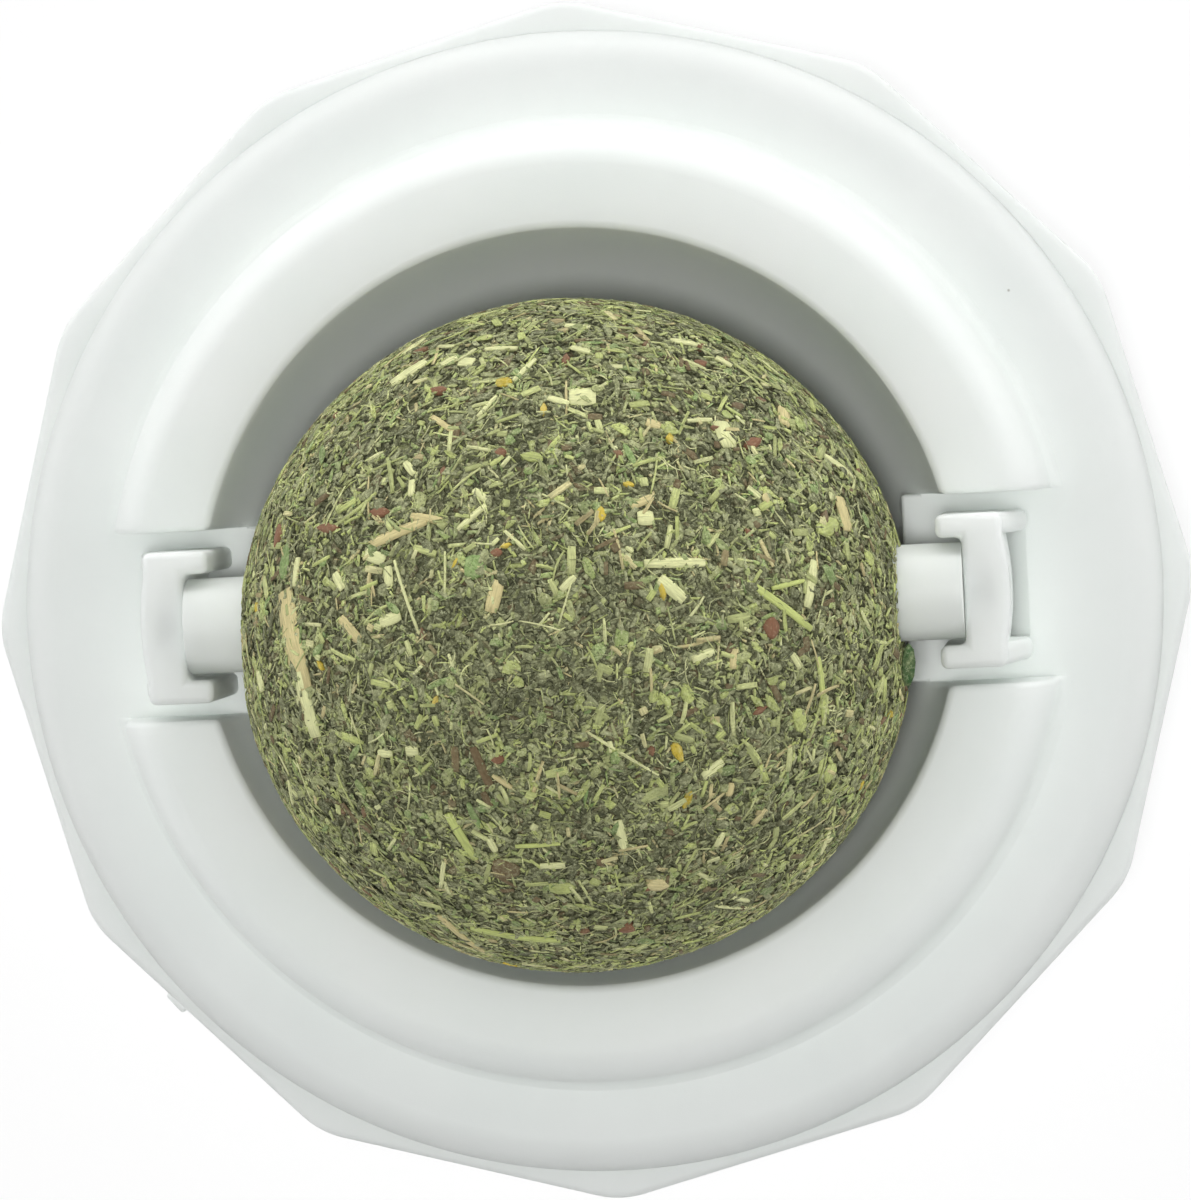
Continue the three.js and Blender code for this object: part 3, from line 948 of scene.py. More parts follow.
class CATNIP_OT_axle(bpy.types.Operator):
    """Builds the white axle with its two pins and the fins that key it into the ball"""

    bl_idname = "catnip.axle"
    bl_label = "Ball Axle"

    def execute(self, context):
        sizes = context.scene.catnip_axle
        colours = context.scene.catnip_colours
        end, shoulder = AXLE_HIGH.x, sizes.shoulder
        radius, pin, bevel = sizes.radius, sizes.pin_radius, sizes.bevel
        half = [(end, 0), (end, pin - bevel / 2), (end - bevel / 2, pin), (shoulder, pin)]
        half += arc((shoulder - bevel, radius - bevel), bevel, bevel, 0, 90, 4)
        last_ring = 0.86 * shoulder  # keeps the shading of the rounded end off the rest of the rod
        half += [(last_ring, radius), (sizes.fin_length / 2, radius)]
        profile = np.array(half + [(-x, r) for x, r in half[::-1]])
        around = turns(ROD_STEPS)
        x, reach = profile.T[:, :, None]
        rings = np.stack(
            [x + 0 * around, reach * np.cos(around), AXIS_Z + reach * np.sin(around)], axis=2
        )
        axle = lofted(rings)
        half_fin = sizes.fin_thickness / 2
        for quarter in range(4):
            fin = block(
                (-sizes.fin_length / 2, -half_fin, 0),
                (sizes.fin_length / 2, half_fin, radius + sizes.fin_height),
            )
            turn = Matrix.Rotation(quarter * math.pi / 2, 4, "X")
            fin.data.transform(Matrix.Translation((0, 0, AXIS_Z)) @ turn)
            combine(axle, fin, "UNION")
        smooth(axle)
        white = plastic_material("satin_white_axle", colours.axle, colours, roughness=0.52, specks=0.6)
        finish_piece(axle, "white_axle", white, "ball", "ball_axle")
        return {"FINISHED"}


# Pressed ball

def core_texture(name, kind, size):
    """A texture for the core's lumps."""
    texture = bpy.data.textures.new(name, kind)
    texture.noise_scale = size
    return texture


class CATNIP_OT_core(bpy.types.Operator):
    """Builds the lumpy core of pressed herb dust"""

    bl_idname = "catnip.core"
    bl_label = "Ball Core"

    def execute(self, context):
        sizes = context.scene.catnip_ball
        colours = context.scene.catnip_colours
        clear_selection()
        radius = BALL_RADIUS - sizes.core_depth
        bpy.ops.mesh.primitive_ico_sphere_add(subdivisions=7, radius=radius)
        core = bpy.context.object
        lumps = core_texture("pressed_lumps", "CLOUDS", sizes.lump_size)
        crumbs = core_texture("pressed_crumbs", "VORONOI", sizes.lump_size / 2)
        for texture, share in ((lumps, 1.0), (crumbs, 0.5)):
            apply_modifier(
                core,
                "DISPLACE",
                texture=texture,
                texture_coords="LOCAL",
                strength=sizes.lump_height * share,
                mid_level=0.9,
            )
        places = places_of(core.data)
        flat = BALL_FLAT_X - sizes.core_depth
        places[:, 0] = np.clip(places[:, 0], -flat, flat)
        move_to(core.data, places + np.array(BALL_CENTRE))
        axle = context.scene.catnip_axle
        hole = rod(axle.radius + sizes.axle_gap, -BALL_RADIUS, BALL_RADIUS, ROD_STEPS)
        combine(core, hole, "DIFFERENCE")
        activate(core)
        bpy.ops.object.shade_smooth_by_angle(angle=CRUMB_EDGE)
        dust = core_material("pressed_dust", colours)
        finish_piece(core, "pressed_core", dust, "ball", "catnip_ball")
        return {"FINISHED"}


# Chopped herb in the ball's surface

SIZE_LEAN = 1.8  # over 1, so that small flakes are commoner than large ones
CLUMP_WAVES = 9  # waves that make up the patches of like tones
OWN_TONE = 0.7  # share of the tones that flakes of one patch run through
PATCH_TONE = 2.0  # how strongly a patch shifts its flakes' tones
BAKE_MARGIN = 0.04  # clear edge of a flake's cell in the bake, as a share of the cell

# A tone of small leaf flakes: its number as a share of the commonest tone's, its least and greatest
# lengths, widths and depths in millimetres, and the places and colours of its ramp.
FlakeTone = namedtuple("FlakeTone", "name share lengths widths depths ramp")

FLAKE_TONES = (
    FlakeTone(
        name="dark",
        share=1.0,
        lengths=(0.5, 1.4),
        widths=(0.3, 0.7),
        depths=(0.14, 0.38),
        ramp=((0, "core"), (0.45, "dark_leaf"), (0.8, "bark"), (1, "grey_leaf")),
    ),
    FlakeTone(
        name="grey",
        share=1.0,
        lengths=(0.5, 1.4),
        widths=(0.16, 0.5),
        depths=(0.06, 0.3),
        ramp=((0, "dark_leaf"), (0.35, "grey_leaf"), (0.75, "dust"), (1, "olive_leaf")),
    ),
    FlakeTone(
        name="olive",
        share=0.8,
        lengths=(0.4, 1.3),
        widths=(0.12, 0.38),
        depths=(0.02, 0.24),
        ramp=((0, "dark_leaf"), (0.4, "olive_leaf"), (0.8, "green_leaf"), (1, "lime_leaf")),
    ),
    FlakeTone(
        name="pale",
        share=0.5,
        lengths=(0.3, 1.2),
        widths=(0.08, 0.28),
        depths=(0.02, 0.24),
        ramp=((0, "olive_leaf"), (0.4, "lime_leaf"), (0.8, "straw"), (1, "wood")),
    ),
)


def read_template(obj):
    """Unwraps a modelled flake, cuts it into triangles and reads it; the object is used up."""
    activate(obj)
    bpy.ops.object.mode_set(mode="EDIT")
    bpy.ops.mesh.select_all(action="SELECT")
    bpy.ops.mesh.quads_convert_to_tris()
    bpy.ops.uv.smart_project(angle_limit=math.radians(60), island_margin=0.02)
    bpy.ops.object.mode_set(mode="OBJECT")
    mesh = obj.data
    corners = np.empty(len(mesh.loops), int)
    mesh.loops.foreach_get("vertex_index", corners)
    unwrapped = np.empty(len(mesh.loops) * 2)
    mesh.uv_layers.active.uv.foreach_get("vector", unwrapped)
    template = (places_of(mesh), corners, unwrapped.reshape(-1, 2))
    bpy.data.objects.remove(obj)
    return template


def plate_template(sides, taper):
    """A thin plate a unit across, its front smaller than its back."""
    around = turns(sides) + math.pi / sides
    reach = 0.5 / math.cos(math.pi / sides)
    obj = raised([(reach * math.cos(a), reach * math.sin(a), -0.5) for a in around], (0, 0, 1))
    places = places_of(obj.data)
    places[places[:, 2] > 0, :2] *= taper
    move_to(obj.data, places)
    return read_template(obj)


def stick_template(sides, widths, squareness=0.0):
    """A stick a unit long, with these widths along it. A square one has flat faces and blunt ends."""
    around = turns(sides) + math.pi / sides
    corner = 1 + squareness * (1 / np.maximum(np.abs(np.cos(around)), np.abs(np.sin(around))) - 1)
    along = np.linspace(-0.5, 0.5, len(widths))
    rings = [
        [(x, width / 2 * c * math.cos(a), c / 2 * math.sin(a)) for a, c in zip(around, corner)]
        for x, width in zip(along, widths)
    ]
    return read_template(lofted(np.array(rings)))


def unit(vectors):
    """Vectors of length one."""
    return vectors / np.linalg.norm(vectors, axis=-1, keepdims=True)


def ranged(draw, amount, low, high):
    """Random sizes in millimetres, more of them near the low end, held in metres."""
    return (low + (high - low) * draw.random(amount) ** SIZE_LEAN) * MM


def surface_spots(draw, amount, depth, clear):
    """Random places on the ball at these depths, clear of the axle, with their outward directions."""
    outward = unit(draw.normal(size=(amount, 3)))
    centre = np.array(BALL_CENTRE)
    places = centre + outward * (BALL_RADIUS - depth)[:, None]
    flat = BALL_FLAT_X - depth
    on_flat = np.abs(places[:, 0]) > flat
    side = np.sign(places[:, 0])
    places[on_flat, 0] = (side * flat)[on_flat]
    outward[on_flat] = np.stack([side, 0 * side, 0 * side], axis=1)[on_flat]
    kept = np.hypot(places[:, 1], places[:, 2] - AXIS_Z) > clear
    return places, outward, kept


def lay_flakes(draw, outward, tilt):
    """Random directions along the flakes, and outward directions tilted a little."""
    tilted = unit(outward + tilt * draw.normal(size=outward.shape))
    along = unit(np.cross(tilted, draw.normal(size=outward.shape)))
    return along, tilted


def soft_limit(places, limit):
    """Presses what stands out of the ball back under a limit, the outermost still outermost."""
    centre = np.array(BALL_CENTRE)
    reach = places - centre
    distance = np.linalg.norm(reach, axis=-1, keepdims=True)
    soft = 0.2 * MM
    over = np.maximum(distance - (limit - soft), 0)
    pressed = np.where(over > 0, limit - soft + soft * (1 - np.exp(-over / soft)), distance)
    return centre + reach / distance * pressed


def clumps(places, size, draw):
    """A smooth random value from 0 to 1 at each place, that changes over a distance of about size."""
    directions = unit(draw.normal(size=(CLUMP_WAVES, 3)))
    waves = directions * (2 * math.pi / size * draw.uniform(0.5, 1.6, (CLUMP_WAVES, 1)))
    shifts = draw.uniform(0, 2 * math.pi, CLUMP_WAVES)
    return 0.5 + np.sin(places @ waves.T + shifts).mean(axis=1)


def copies(name, template, places, along, outward, span, bends, tint, ragged, draw, limit):
    """One mesh of many flakes, each with its own outline, bends, tint, grain map and bake cell."""
    shape, corners, unwrapped = template
    amount, points = len(places), len(shape)
    local = shape[None] * span[:, None, :]
    if ragged:
        spoke = np.unique(np.round(np.arctan2(shape[:, 1], shape[:, 0]), 3), return_inverse=True)[1]
        uneven = draw.uniform(1 - ragged, 1.0, (amount, spoke.max() + 1))
        local[:, :, :2] *= uneven[:, spoke][:, :, None]
    x, y, z = np.moveaxis(local, 2, 0)
    bow = (2 * x / span[:, :1]) ** 2 * span[:, :1]
    y = y + bends[:, :1] * bow
    z = z - (x**2 + y**2) / (2 * BALL_RADIUS) + bends[:, 1:] * bow
    across = np.cross(outward, along)
    mesh_places = places[:, None] + x[..., None] * along[:, None]
    mesh_places += y[..., None] * across[:, None] + z[..., None] * outward[:, None]
    mesh_places = soft_limit(mesh_places, limit)
    loops = (np.arange(amount)[:, None] * points + corners[None]).ravel()

    mesh = bpy.data.meshes.new(name)
    mesh.vertices.add(amount * points)
    mesh.loops.add(len(loops))
    mesh.polygons.add(len(loops) // 3)
    mesh.vertices.foreach_set("co", mesh_places.ravel())
    mesh.loops.foreach_set("vertex_index", loops)
    mesh.polygons.foreach_set("loop_start", np.arange(0, len(loops), 3))
    mesh.update(calc_edges=True)
    mesh.validate()

    tints = mesh.attributes.new("tint", "FLOAT", "POINT")
    tints.data.foreach_set("value", np.repeat(tint, points))
    grain = np.stack([x, y], axis=2) / MM + draw.uniform(-50, 50, (amount, 1, 2))
    mesh.uv_layers.new(name="grain").uv.foreach_set("vector", grain[:, corners].ravel())
    row = math.ceil(math.sqrt(amount))
    cell = np.stack(np.divmod(np.arange(amount), row), axis=1)
    baked = (cell[:, None] + BAKE_MARGIN + (1 - 2 * BAKE_MARGIN) * unwrapped[None]) / row
    mesh.uv_layers.new(name="OFBake").uv.foreach_set("vector", baked.ravel())

    obj = bpy.data.objects.new(name, mesh)
    bpy.context.scene.collection.objects.link(obj)
    return obj


def finish_herb(obj, name, material, rounded):
    """Smooths pieces of herb that are round, and ties them to the ball."""
    if rounded:
        activate(obj)
        bpy.ops.object.shade_smooth()
    finish_piece(obj, name, material, "ball")


def scatter(
    context,
    name,
    template,
    amount,
    material,
    *,
    lengths,
    widths,
    depths,
    thickness=None,
    tilt=0.1,
    curl=0.03,
    sweep=0.0,
    ragged=0.0,
):
    """Scatters one kind of flake over the ball. Its sizes and depths are in millimetres.

    A kind without a thickness is round: as thick as it is wide.
    """
    rounded = thickness is None
    sizes = context.scene.catnip_ball
    axle = context.scene.catnip_axle
    draw = np.random.default_rng(sizes.seed + sum(map(ord, name)))
    length_drawn = ranged(draw, amount, *lengths)
    width_drawn = ranged(draw, amount, *widths)
    thick = width_drawn if rounded else np.full(amount, thickness * MM)
    span = np.stack([length_drawn, width_drawn, thick], axis=1)
    depth = draw.uniform(depths[0], depths[1], amount) * MM + thick / 2
    clear = axle.radius + sizes.axle_gap + length_drawn / 3
    places, outward, kept = surface_spots(draw, amount, depth, clear)
    along, outward = lay_flakes(draw, outward, tilt)
    bends = draw.normal(size=(amount, 2)) * (sweep, curl)
    patches = clumps(places, sizes.clump_size, draw)
    own = OWN_TONE * draw.random(amount) + (1 - OWN_TONE) / 2
    tint = np.clip(own + PATCH_TONE * (patches - 0.5), 0, 1)
    chosen = [part[kept] for part in (places, along, outward, span, bends, tint)]
    obj = copies(name, template, *chosen, ragged, draw, BALL_RADIUS)
    finish_herb(obj, name, material, rounded)


class CATNIP_OT_leaf(bpy.types.Operator):
    """Scatters chopped leaf over the ball: small flakes in four tones, and wider leaf pieces"""

    bl_idname = "catnip.leaf"
    bl_label = "Leaf Flakes"

    def execute(self, context):
        sizes = context.scene.catnip_ball
        colours = context.scene.catnip_colours
        plate = plate_template(4, 0.8)
        for tone in FLAKE_TONES:
            scatter(
                context,
                f"{tone.name}_leaf_flakes",
                plate,
                round(sizes.flake_count * tone.share),
                herb_material(f"{tone.name}_leaf", colours, tone.ramp, streak=0.4, dust_share=0.4),
                lengths=tone.lengths,
                widths=tone.widths,
                depths=tone.depths,
                thickness=0.07,
                tilt=0.12,
                curl=0.09,
                sweep=0.05,
                ragged=0.6,
            )
        ramp = (
            (0, "dark_leaf"),
            (0.3, "grey_leaf"),
            (0.55, "olive_leaf"),
            (0.8, "green_leaf"),
            (1, "lime_leaf"),
        )
        scatter(
            context,
            "wide_leaf_pieces",
            plate_template(7, 0.85),
            sizes.leaf_count,
            herb_material("wide_leaf", colours, ramp, streak=0.45, dust_share=0.4),
            lengths=(0.7, 1.8),
            widths=(0.35, 0.95),
            depths=(-0.02, 0.08),
            thickness=0.07,
            curl=0.05,
            ragged=0.55,
        )
        return {"FINISHED"}


class CATNIP_OT_stems(bpy.types.Operator):
    """Scatters stems, curled fibres and straw chips over the ball"""

    bl_idname = "catnip.stems"
    bl_label = "Stems and Straw"

    def execute(self, context):
        sizes = context.scene.catnip_ball
        colours = context.scene.catnip_colours
        ramp = ((0, "dust"), (0.4, "olive_leaf"), (0.75, "lime_leaf"), (1, "straw"))
        scatter(
            context,
            "curled_fibres",
            stick_template(4, (0.5, 0.9, 1.0, 0.9, 0.5)),
            sizes.fibre_count,
            herb_material("curled_fibre", colours, ramp, streak=0.4, dust_share=0.3),
            lengths=(0.45, 1.5),
            widths=(0.05, 0.12),
            depths=(-0.02, 0.14),
            sweep=0.16,
        )
        ramp = ((0, "olive_leaf"), (0.4, "lime_leaf"), (0.8, "straw"), (1, "wood"))
        scatter(
            context,
            "thin_stems",
            stick_template(6, (0.8, 1.0, 0.95, 0.9, 0.7), 0.4),
            sizes.stem_count,
            herb_material("thin_stem", colours, ramp, streak=0.45, dust_share=0.3, crumbs=0.5),
            lengths=(0.7, 2.6),
            widths=(0.1, 0.3),
            depths=(-0.03, 0.08),
            thickness=0.12,
            tilt=0.07,
            sweep=0.03,
        )
        ramp = ((0, "olive_leaf"), (0.35, "lime_leaf"), (0.7, "straw"), (0.9, "wood"), (1, "bark"))
        scatter(
            context,
            "straw_chips",
            stick_template(8, (0.85, 1.0, 0.97, 0.9), 0.9),
            sizes.straw_count,
            herb_material("straw_chip", colours, ramp, streak=0.5, dust_share=0.2, crumbs=0.35),
            lengths=(0.4, 1.5),
            widths=(0.2, 0.5),
            depths=(-0.04, 0.03),
            thickness=0.16,
            tilt=0.07,
        )
        return {"FINISHED"}


class CATNIP_OT_seeds(bpy.types.Operator):
    """Scatters red-brown seeds over the ball"""

    bl_idname = "catnip.seeds"
    bl_label = "Seeds"

    def execute(self, context):
        sizes = context.scene.catnip_ball
        colours = context.scene.catnip_colours
        ramp = ((0, "seed"), (0.7, "bark"), (0.95, "wood"), (1, "petal"))
        husk = herb_material(
            "seed_husk", colours, ramp, streak=0.4, dust_share=0.1, crumbs=0.3, specular=0.6
        )
        scatter(
            context,
            "red_brown_seeds",
            stick_template(8, (0.15, 0.7, 1.0, 0.95, 0.65, 0.15)),
            sizes.seed_count,
            husk,
            lengths=(0.5, 1.0),
            widths=(0.35, 0.55),
            depths=(-0.05, 0.05),
        )
        return {"FINISHED"}


# Chips that stand out in the photograph

def camera_axes(stage):
    """The photograph's camera: its place, and its right, up and forward directions."""
    target = Vector((0, 0, stage.aim_height))
    back = Vector((math.tan(stage.lean_x), math.tan(stage.lean_y), 1)).normalized()
    place = target + back * stage.distance
    level = (-back).cross(Vector((0, 1, 0))).normalized()
    upright = level.cross(-back)
    right = math.cos(stage.roll) * level + math.sin(stage.roll) * upright
    up = math.cos(stage.roll) * upright - math.sin(stage.roll) * level
    forward = (target + right * stage.aim_right + up * stage.aim_up - place).normalized()
    right = (right - forward * right.dot(forward)).normalized()
    return place, right, right.cross(forward), forward


def pixels_across(stage):
    """Pixels of the photograph that a thing shows when it is as wide as it is far away."""
    return stage.lens / SENSOR_WIDTH * max(PHOTO_WIDTH, PHOTO_HEIGHT)


def seen_on_ball(stage, column, row, depth):
    """The point on the ball that the photograph shows in a pixel, at a depth under the surface."""
    place, right, up, forward = camera_axes(stage)
    sideways = (column - PHOTO_WIDTH / 2) / pixels_across(stage)
    upwards = (PHOTO_HEIGHT / 2 - row) / pixels_across(stage)
    ray = (forward + right * sideways + up * upwards).normalized()
    reach = BALL_CENTRE - place
    middle = reach.dot(ray)
    radius = BALL_RADIUS - depth
    miss = (reach - ray * middle).length
    return place + ray * (middle - math.sqrt(max(radius**2 - miss**2, 0)))


# Each chip has the pixels of its two ends, its width in pixels and its tone.
Chip = namedtuple("Chip", "start_column start_row end_column end_row width tone")

LEAF_CHIPS = (
    Chip(286, 541, 281, 582, 12, "green_leaf"),
    Chip(905, 645, 914, 690, 12, "deep_leaf"),
    Chip(818, 532, 841, 520, 20, "lime_leaf"),
    Chip(866, 552, 876, 562, 15, "lime_leaf"),
    Chip(520, 453, 545, 458, 12, "lime_leaf"),
    Chip(463, 556, 486, 575, 28, "green_leaf"),
    Chip(624, 442, 636, 465, 8, "green_leaf"),
    Chip(493, 382, 513, 379, 11, "petal"),
    Chip(330, 732, 366, 745, 9, "lime_leaf"),
    Chip(492, 862, 518, 880, 24, "bark"),
    Chip(544, 889, 577, 891, 14, "lime_leaf"),
    Chip(835, 762, 828, 787, 13, "lime_leaf"),
    Chip(684, 684, 692, 706, 15, "lime_leaf"),
    Chip(797, 708, 806, 733, 18, "lime_leaf"),
    Chip(673, 742, 683, 763, 12, "petal"),
    Chip(638, 803, 679, 785, 13, "olive_leaf"),
    Chip(588, 782, 584, 808, 5, "green_leaf"),
    Chip(684, 811, 692, 790, 9, "petal"),
    Chip(465, 800, 481, 832, 8, "green_leaf"),
    Chip(911, 690, 909, 720, 6, "lime_leaf"),
)

STRAW_CHIPS = (
    Chip(283, 590, 303, 690, 19, "wood"),
    Chip(297, 672, 314, 738, 12, "straw"),
    Chip(296, 557, 292, 586, 5, "straw"),
    Chip(645, 563, 706, 562, 10, "straw"),
    Chip(660, 578, 685, 600, 13, "straw"),
    Chip(748, 581, 813, 629, 8, "lime_leaf"),
    Chip(816, 560, 809, 607, 9, "straw"),
    Chip(774, 588, 806, 580, 5, "lime_leaf"),
    Chip(693, 660, 715, 651, 9, "straw"),
    Chip(736, 649, 734, 669, 8, "wood"),
    Chip(820, 657, 826, 725, 5, "lime_leaf"),
    Chip(841, 496, 850, 530, 10, "wood"),
    Chip(826, 454, 857, 477, 6, "straw"),
    Chip(569, 395, 596, 395, 17, "straw"),
    Chip(548, 396, 569, 402, 6, "straw"),
    Chip(457, 529, 485, 504, 6, "straw"),
    Chip(473, 489, 486, 499, 8, "straw"),
    Chip(490, 612, 498, 580, 14, "wood"),
    Chip(504, 530, 525, 549, 4, "straw"),
    Chip(638, 517, 654, 517, 15, "straw"),
    Chip(631, 506, 653, 496, 8, "wood"),
    Chip(561, 590, 575, 576, 8, "straw"),
    Chip(404, 461, 413, 473, 8, "straw"),
    Chip(411, 479, 410, 495, 7, "straw"),
    Chip(477, 415, 496, 394, 4, "straw"),
    Chip(368, 545, 425, 520, 10, "wood"),
    Chip(410, 515, 441, 520, 8, "wood"),
    Chip(364, 553, 383, 560, 13, "straw"),
    Chip(386, 566, 388, 586, 9, "straw"),
    Chip(333, 573, 341, 589, 9, "straw"),
    Chip(379, 623, 399, 615, 12, "straw"),
    Chip(393, 560, 418, 634, 3, "straw"),
    Chip(339, 618, 358, 640, 10, "wood"),
    Chip(256, 672, 260, 692, 7, "straw"),
    Chip(390, 382, 425, 359, 8, "straw"),
    Chip(402, 352, 423, 337, 5, "straw"),
    Chip(440, 363, 456, 355, 5, "straw"),
    Chip(513, 379, 535, 357, 5, "straw"),
    Chip(459, 360, 473, 360, 10, "straw"),
    Chip(485, 347, 517, 346, 4, "straw"),
    Chip(565, 323, 590, 325, 4, "straw"),
    Chip(571, 345, 590, 350, 5, "straw"),
    Chip(431, 415, 453, 430, 6, "wood"),
    Chip(721, 420, 731, 446, 17, "straw"),
    Chip(672, 338, 701, 343, 5, "straw"),
    Chip(717, 355, 733, 364, 4, "straw"),
    Chip(647, 420, 661, 425, 8, "wood"),
    Chip(688, 419, 713, 418, 4, "straw"),
    Chip(785, 407, 786, 423, 14, "wood"),
    Chip(447, 815, 475, 861, 9, "lime_leaf"),
    Chip(488, 840, 495, 853, 7, "straw"),
    Chip(439, 918, 491, 958, 8, "wood"),
    Chip(540, 868, 565, 867, 6, "straw"),
    Chip(470, 930, 560, 943, 5, "lime_leaf"),
    Chip(377, 754, 391, 755, 8, "straw"),
    Chip(405, 752, 417, 752, 11, "straw"),
    Chip(472, 748, 491, 790, 9, "bark"),
    Chip(492, 776, 511, 789, 5, "wood"),
    Chip(443, 864, 440, 889, 5, "straw"),
    Chip(515, 848, 560, 845, 4, "lime_leaf"),
    Chip(287, 782, 291, 805, 5, "straw"),
    Chip(618, 822, 625, 852, 10, "straw"),
    Chip(704, 778, 724, 762, 9, "straw"),
    Chip(730, 797, 733, 784, 7, "wood"),
    Chip(717, 848, 725, 834, 6, "straw"),
    Chip(610, 742, 611, 753, 6, "straw"),
    Chip(822, 856, 831, 834, 6, "straw"),
    Chip(808, 879, 814, 863, 5, "straw"),
    Chip(588, 733, 659, 776, 3, "straw"),
    Chip(734, 899, 750, 903, 5, "straw"),
    Chip(717, 908, 755, 909, 3, "straw"),
)

SEED_CHIPS = (
    Chip(278, 524, 274, 547, 8, "seed"),
    Chip(316, 527, 336, 527, 11, "seed"),
    Chip(369, 511, 388, 511, 11, "seed"),
    Chip(430, 388, 446, 388, 9, "seed"),
    Chip(494, 451, 506, 451, 10, "seed"),
    Chip(490, 552, 502, 552, 10, "seed"),
    Chip(773, 617, 773, 639, 16, "seed"),
    Chip(768, 492, 768, 502, 9, "wood"),
    Chip(747, 444, 762, 438, 12, "seed"),
    Chip(733, 404, 745, 404, 9, "bark"),
    Chip(695, 361, 707, 361, 9, "seed"),
    Chip(491, 761, 504, 760, 10, "seed"),
    Chip(619, 931, 635, 931, 9, "seed"),
    Chip(601, 506, 601, 520, 12, "petal"),
    Chip(648, 886, 669, 887, 14, "wood"),
)

# The leaf that stands up out of the ball beside the axle
STANDING_LEAVES = (Chip(911, 645, 908, 686, 12, "deep_leaf"),)

LEAST_WIDTH_SHOWN = 0.45  # share of its width that a chip at the ball's edge is taken to show
CHIP_DEPTH = 0.02  # millimetres of herb over a chip's outer face
CHIP_TONES = (
    "seed",
    "bark",
    "deep_leaf",
    "olive_leaf",
    "green_leaf",
    "lime_leaf",
    "petal",
    "wood",
    "straw",
)


def place_chips(
    context,
    name,
    template,
    chips,
    material,
    *,
    thickness,
    ragged=0.0,
    lift=0.0,
    facing=0.0,
    proud=0.0,
    rounded=False,
):
    """Puts chips where the photograph shows them, and again half a turn on over the hidden side.

    Thickness, lift and how far the chips may stand proud of the ball are in millimetres.
    Facing is how far they turn from the ball's surface towards the camera.
    """
    stage = context.scene.catnip_stage
    draw = np.random.default_rng(context.scene.catnip_ball.seed + len(chips))
    eye = camera_axes(stage)[0]
    depth = (CHIP_DEPTH - lift) * MM
    places, along, outward, span = [], [], [], []
    for chip in chips:
        start = seen_on_ball(stage, chip.start_column, chip.start_row, depth)
        end = seen_on_ball(stage, chip.end_column, chip.end_row, depth)
        middle = (start + end) / 2
        out = (middle - BALL_CENTRE).normalized()
        places.append(BALL_CENTRE + out * (BALL_RADIUS - depth - thickness * MM / 2))
        view = middle - eye
        out = (out - facing * view.normalized()).normalized()
        run = end - start
        along.append((run - out * run.dot(out)).normalized())
        outward.append(out)
        across = out.cross(along[-1])
        shown = max(across.cross(view.normalized()).length, LEAST_WIDTH_SHOWN)
        width = chip.width * view.length / pixels_across(stage) / shown
        span.append((run.length, width, width if rounded else thickness * MM))
    tint = [CHIP_TONES.index(chip.tone) / (len(CHIP_TONES) - 1) for chip in chips]
    half_turn = np.array((1, -1, -1))
    from_centre = np.array(places) - BALL_CENTRE
    places = np.concatenate([from_centre, from_centre * half_turn]) + BALL_CENTRE
    along, outward = (np.concatenate([part, np.array(part) * half_turn]) for part in (along, outward))
    span, tint = (np.concatenate([part, part]) for part in (span, tint))
    straight = np.zeros((len(places), 2))
    limit = BALL_RADIUS + proud * MM
    laid = (places, along, outward, span, straight, tint)
    obj = copies(name, template, *laid, ragged, draw, limit)
    finish_herb(obj, name, material, rounded)


class CATNIP_OT_chips(bpy.types.Operator):
    """Places the leaves, straws and seeds that stand out in the photograph"""

    bl_idname = "catnip.chips"
    bl_label = "Notable Chips"

    def execute(self, context):
        colours = context.scene.catnip_colours
        last = len(CHIP_TONES) - 1
        ramp = [(index / last, tone) for index, tone in enumerate(CHIP_TONES)]
        leaf = herb_material("notable_leaf", colours, ramp, streak=0.4, dust_share=0.3, crumbs=0.6)
        blade = plate_template(9, 0.85)
        place_chips(context, "notable_leaves", blade, LEAF_CHIPS, leaf, thickness=0.12, ragged=0.25)
        place_chips(
            context,
            "standing_leaf",
            plate_template(9, 0.95),
            STANDING_LEAVES,
            leaf,
            thickness=0.15,
            lift=0.2,
            facing=1.0,
            proud=0.8,
        )
        straw = herb_material("notable_straw", colours, ramp, streak=0.35, dust_share=0.08, crumbs=0.15)
        splinter = stick_template(8, (0.8, 0.97, 1.0, 1.0, 0.95, 0.75), 0.9)
        place_chips(context, "notable_straws", splinter, STRAW_CHIPS, straw, thickness=0.25)
        husk = herb_material(
            "notable_husk", colours, ramp, streak=0.3, dust_share=0.05, crumbs=0.3, specular=0.6
        )
        kernel = stick_template(10, (0.2, 0.72, 0.95, 1.0, 0.9, 0.65, 0.2))
        place_chips(context, "notable_seeds", kernel, SEED_CHIPS, husk, thickness=0.4, rounded=True)
        return {"FINISHED"}


# Stage

def add_lamp(name, power, size, place, target):
    """A round soft lamp at a place, turned to shine on a target."""
    clear_selection()
    bpy.ops.object.light_add(type="AREA")
    lamp = bpy.context.object
    lamp.name = name
    lamp.data.shape = "DISK"
    lamp.data.size = size
    lamp.data.energy = power
    turn = (target - place).to_track_quat("-Z", "Y").to_matrix().to_4x4()
    lamp.matrix_world = Matrix.Translation(place) @ turn


